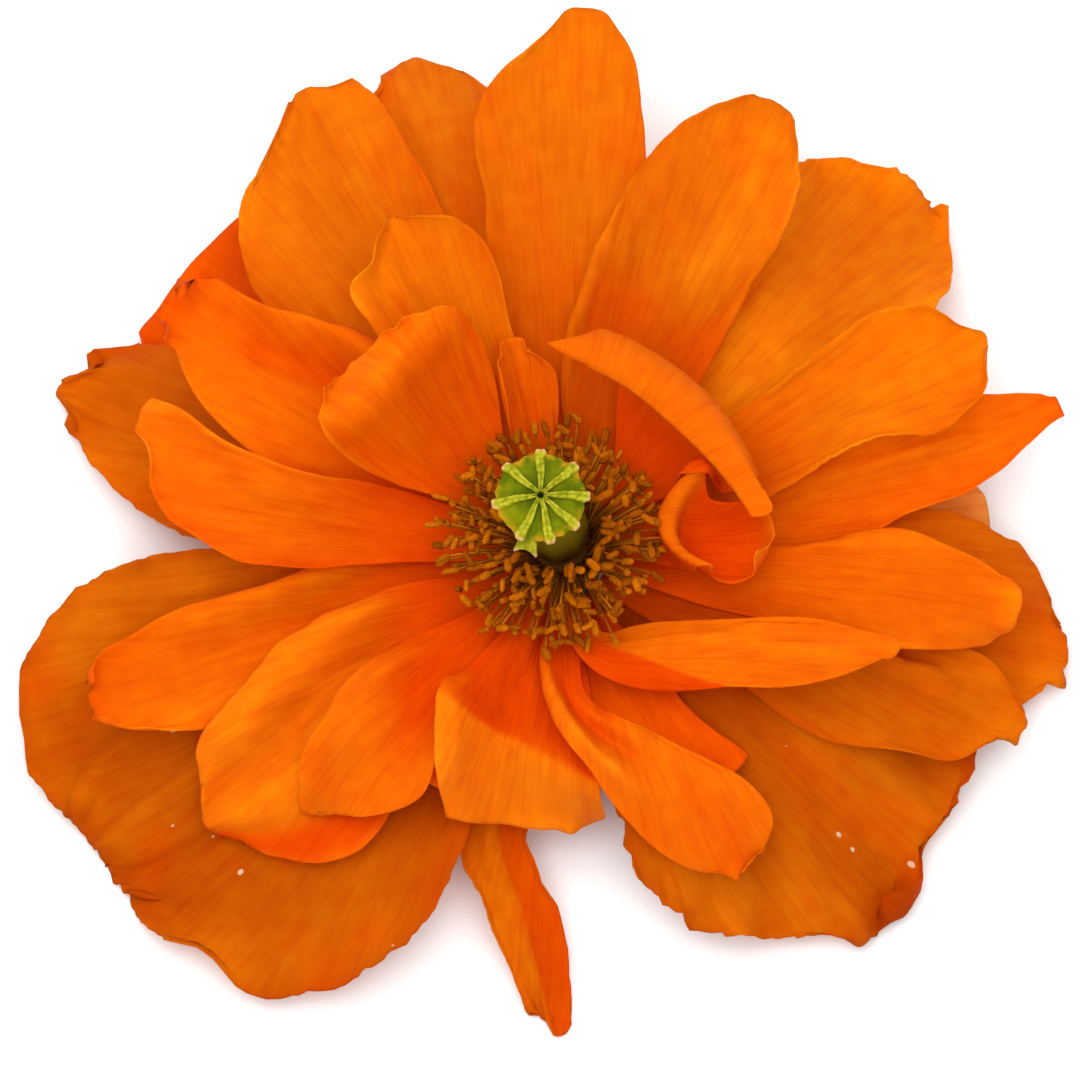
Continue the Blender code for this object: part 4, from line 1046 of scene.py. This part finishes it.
STAMENS = 310
STAMENS_LEAN = (-0.45, 0.1)  # how far the ring's outside lies off the axis
GOLDEN_TURN = 2.39996
ROOT_RADIUS = 1.7
ROOT_HEIGHT = 9.7
TIP_RADII = (2.7, 7.0)  # of the innermost and the outermost stamen's tip
TIP_HEIGHTS = (13.2, 10.8)
FILAMENT_SIDES = 5
FILAMENT_STEPS = 7
FILAMENT_RADIUS = 0.075
ANTHER_AROUND = 8
ANTHER_STEPS = 7
ANTHER_LENGTH = 1.15
ANTHER_HALF_WIDTH = 0.24
ANTHER_FLATNESS = 0.8
FILAMENT_GLOSS = (1.0, 0.4, 0.1)
ANTHER_GLOSS = (1.0, 0.4, 0.05)


def tube(centres, radii, sides, flatten=1.0):
    """Points and faces of a closed tube through the centres."""
    ahead = np.gradient(centres, axis=0)
    ahead /= np.linalg.norm(ahead, axis=1, keepdims=True)
    aside = np.cross(ahead, (0.05, 0.09, 1.0))
    aside /= np.linalg.norm(aside, axis=1, keepdims=True)
    over = np.cross(aside, ahead)
    turns = np.linspace(0, 2 * math.pi, sides, endpoint=False)[None, :, None]
    around = np.cos(turns) * aside[:, None] + flatten * np.sin(turns) * over[:, None]
    points = centres[:, None] + around * radii[:, None, None]
    return points.reshape(-1, 3), ring_faces(len(centres), sides)


def towards(turn):
    return np.array([math.cos(turn), math.sin(turn)])


def filament(number, chance):
    """The middle line of a stamen's thread, which rises as it leaves the receptacle, and its way out."""
    share = (number + 0.5) / STAMENS
    turn = number * GOLDEN_TURN + chance.normal(0, 0.08)
    reach = TIP_RADII[0] + (TIP_RADII[1] - TIP_RADII[0]) * share**0.75 + chance.normal(0, 0.4)
    top = TIP_HEIGHTS[0] + (TIP_HEIGHTS[1] - TIP_HEIGHTS[0]) * share + chance.normal(0, 0.5)
    root = towards(turn) * (ROOT_RADIUS + 0.5 * chance.random())
    sway = turn + chance.normal(0, 0.1)
    tip = towards(sway) * reach + STAMENS_LEAN
    t = np.linspace(0, 1, FILAMENT_STEPS)[:, None]
    rising = np.sin(t * math.pi / 2 * 0.95) ** (0.8 + 0.5 * chance.random())
    plan = root + (tip - root) * t**0.9
    return np.concatenate([plan, ROOT_HEIGHT + (top - ROOT_HEIGHT) * rising], axis=1), sway


def anther(end, sway, chance):
    """The middle line and the radii of an anther, which lies across a thread's end."""
    heading = sway + chance.normal(0, 1.0)
    slope = chance.normal(0.15, 0.5)
    along = np.array([*towards(heading) * math.cos(slope), math.sin(slope)])
    length = ANTHER_LENGTH * chance.uniform(0.75, 1.1)
    place = np.linspace(-1, 1, ANTHER_STEPS)[:, None]
    middle = end + along * chance.uniform(0.1, 0.4)
    spine = middle + place * along * length / 2 + place**2 * np.array([0, 0, chance.normal(0, 0.08)])
    rounded = np.sqrt(np.clip(1 - np.abs(place[:, 0]) ** 5, 0.05, 1))
    return spine, ANTHER_HALF_WIDTH * chance.uniform(0.7, 1.15) * rounded


def add_stamens():
    chance = np.random.default_rng(11)
    points, faces, kinds, shades = [], [], [], []

    def grow(part, kind, shade):
        start = sum(len(p) for p in points)
        points.append(part[0])
        faces.extend([[start + i for i in face] for face in part[1]])
        kinds.extend([kind] * len(part[1]))
        shades.append(np.full(len(part[0]), shade))

    for number in range(STAMENS):
        line, sway = filament(number, chance)
        grow(tube(line, np.full(FILAMENT_STEPS, FILAMENT_RADIUS), FILAMENT_SIDES), 0, chance.random())
        spine, radii = anther(line[-1], sway, chance)
        grow(tube(spine, radii, ANTHER_AROUND, ANTHER_FLATNESS), 1, chance.random())
    materials = [filament_material(), anther_material()]
    values = {"shade": np.concatenate(shades)}
    points = np.concatenate(points)
    add_piece("stamen_ring", points, faces, materials, ["stamens"], "stamens", values, kinds=kinds)


def filament_material():
    shading = Shading("stamen_filament")
    colour = shading.mixed(shading.value("shade"), (0.2, 0.05, 0.001), (0.42, 0.12, 0.003))
    return shading.finished(shading.principled(colour, 0.6, 0.2, FILAMENT_GLOSS))


def anther_material():
    shading = Shading("stamen_anther")
    pollen = shading.noise(shading.place(), 6000.0)
    colour = shading.mixed(shading.value("shade"), (0.27, 0.055, 0.001), (0.54, 0.135, 0.002))
    colour = shading.clouded(pollen, shading.tinted(colour, (0.7, 0.66, 0.6)), colour)
    bump = shading.bump(pollen, 0.8, 0.08)
    return shading.finished(shading.principled(colour, 0.8, 0.1, ANTHER_GLOSS, bump))


# --- Receptacle and stalk ---

STALK_AROUND = 96
STALK_RINGS = 60
STALK_RIBS = 12
STALK_OUTLINE = (  # radius and height
    (STALK_RADIUS * 0.96, 0.0),
    (STALK_RADIUS, 0.12),
    (STALK_RADIUS, STALK_LENGTH),
    (RECEPTACLE_RADIUS * 0.94, STALK_LENGTH + NECK_LENGTH),
    (RECEPTACLE_RADIUS, STALK_LENGTH + 2 * NECK_LENGTH),
    (RECEPTACLE_RADIUS, RECEPTACLE_TOP - 0.3),
    (RECEPTACLE_RADIUS * 0.9, RECEPTACLE_TOP),
)


def add_receptacle():
    radii, heights = np.array(STALK_OUTLINE).T
    turns = np.linspace(0, 2 * math.pi, STALK_AROUND, endpoint=False)[None, :]
    height = np.linspace(0, RECEPTACLE_TOP, STALK_RINGS)[:, None]
    ribs = 1 + RIB_HEIGHT * np.cos(STALK_RIBS * turns) + 0.01 * np.sin(5 * turns + height)
    radius = np.interp(height, heights, radii) * ribs
    rings = np.stack([radius * np.cos(turns), radius * np.sin(turns), height + 0 * radius], axis=2)
    points = rings.reshape(-1, 3)
    values = {"height": points[:, 2] / RECEPTACLE_TOP}
    nodes = ["receptacle_with_cut_stalk"]
    faces = ring_faces(STALK_RINGS, STALK_AROUND)
    add_piece("stalk_and_receptacle", points, faces, [stalk_material()], nodes, "stalk", values)


def stalk_material():
    """Green, with pale streaks along it, and brown on top among the stamens."""
    shading = Shading("stalk_green")
    streaks = shading.noise(shading.mapped(shading.place(), (2600.0, 2600.0, 300.0)), 1.0)
    green = shading.clouded(streaks, (0.05, 0.065, 0.004), (0.13, 0.15, 0.015))
    colour = shading.mixed(shading.between(shading.value("height"), 0.6, 0.85), green, (0.1, 0.035, 0.0005))
    return shading.finished(shading.principled(colour, 0.7, 0.1, normal=shading.bump(streaks, 0.6, 0.08)))


# --- Floor, light and camera, in metres and watts unless it says otherwise ---

FLOOR_REACH = 3.0
LIGHTS = {  # place, side and power
    "key": ((-0.15, 0.25, 1.2), 1.3, 12.3),
    "front": ((0.0, -0.45, 1.2), 1.0, 7.5),
}
WORLD_STRENGTH = 0.62
CAMERA_ELEVATION = math.radians(73)
CAMERA_DISTANCE = 2.0
VIEW_WIDTH = 67.2 * MM
VIEW_MIDDLE = (-1.24, 1.43, 6.0)  # millimetres from the receptacle's axis
SENSOR_WIDTH = 36.0  # millimetres
CLIP_START = 0.01
CLIP_END = 20.0
MOST_BOUNCES = 4  # of light between and through the petals


def linked(name, data):
    """Puts an object of this data into the scene."""
    item = bpy.data.objects.new(name, data)
    bpy.context.scene.collection.objects.link(item)
    return item


def floor_material():
    shading = Shading("floor_white")
    cloud = shading.noise(shading.place(), 8.0, 4.0)
    colour = shading.clouded(cloud, (0.88, 0.93, 0.94), (0.9, 0.95, 0.96))
    return shading.finished(shading.principled(colour, 0.8, 0.1))


def add_floor():
    mesh = bpy.data.meshes.new("floor")
    corners = [(x * FLOOR_REACH, y * FLOOR_REACH, 0) for x, y in ((-1, -1), (1, -1), (1, 1), (-1, 1))]
    mesh.from_pydata(corners, [], [(0, 1, 2, 3)])
    mesh.materials.append(floor_material())
    linked("floor", mesh)


def add_lights():
    """Two square lights that point at the flower, and the white light of a studio from all round."""
    for name, (spot, size, watts) in LIGHTS.items():
        light = bpy.data.lights.new(name, "AREA")
        light.size = size
        light.energy = watts
        item = linked(name, light)
        item.location = spot
        item.rotation_euler = (-Vector(spot)).to_track_quat("-Z", "Y").to_euler()
    world = bpy.data.worlds.new("studio")
    world.use_nodes = True
    background = world.node_tree.nodes["Background"]
    background.inputs["Color"].default_value = (1.0, 1.0, 1.0, 1.0)
    background.inputs["Strength"].default_value = WORLD_STRENGTH
    bpy.context.scene.world = world


def add_camera():
    camera = bpy.data.cameras.new("camera")
    camera.sensor_width = SENSOR_WIDTH
    camera.lens = SENSOR_WIDTH * CAMERA_DISTANCE / VIEW_WIDTH
    camera.clip_start = CLIP_START
    camera.clip_end = CLIP_END
    item = linked("camera", camera)
    aim = Vector((AXIS.x, AXIS.y, 0)) + Vector(VIEW_MIDDLE) * MM
    back = Vector((0, -math.cos(CAMERA_ELEVATION), math.sin(CAMERA_ELEVATION)))
    item.location = aim + back * CAMERA_DISTANCE
    item.rotation_euler = (math.pi / 2 - CAMERA_ELEVATION, 0, 0)
    bpy.context.scene.camera = item


bpy.context.scene.view_settings.view_transform = "Standard"
bpy.context.scene.cycles.max_bounces = MOST_BOUNCES
bpy.context.scene.cycles.transmission_bounces = MOST_BOUNCES
add_camera()
add_lights()
add_floor()
add_receptacle()
add_petals()
add_stamens()
add_capsule()

bpy.context.view_layer.update()
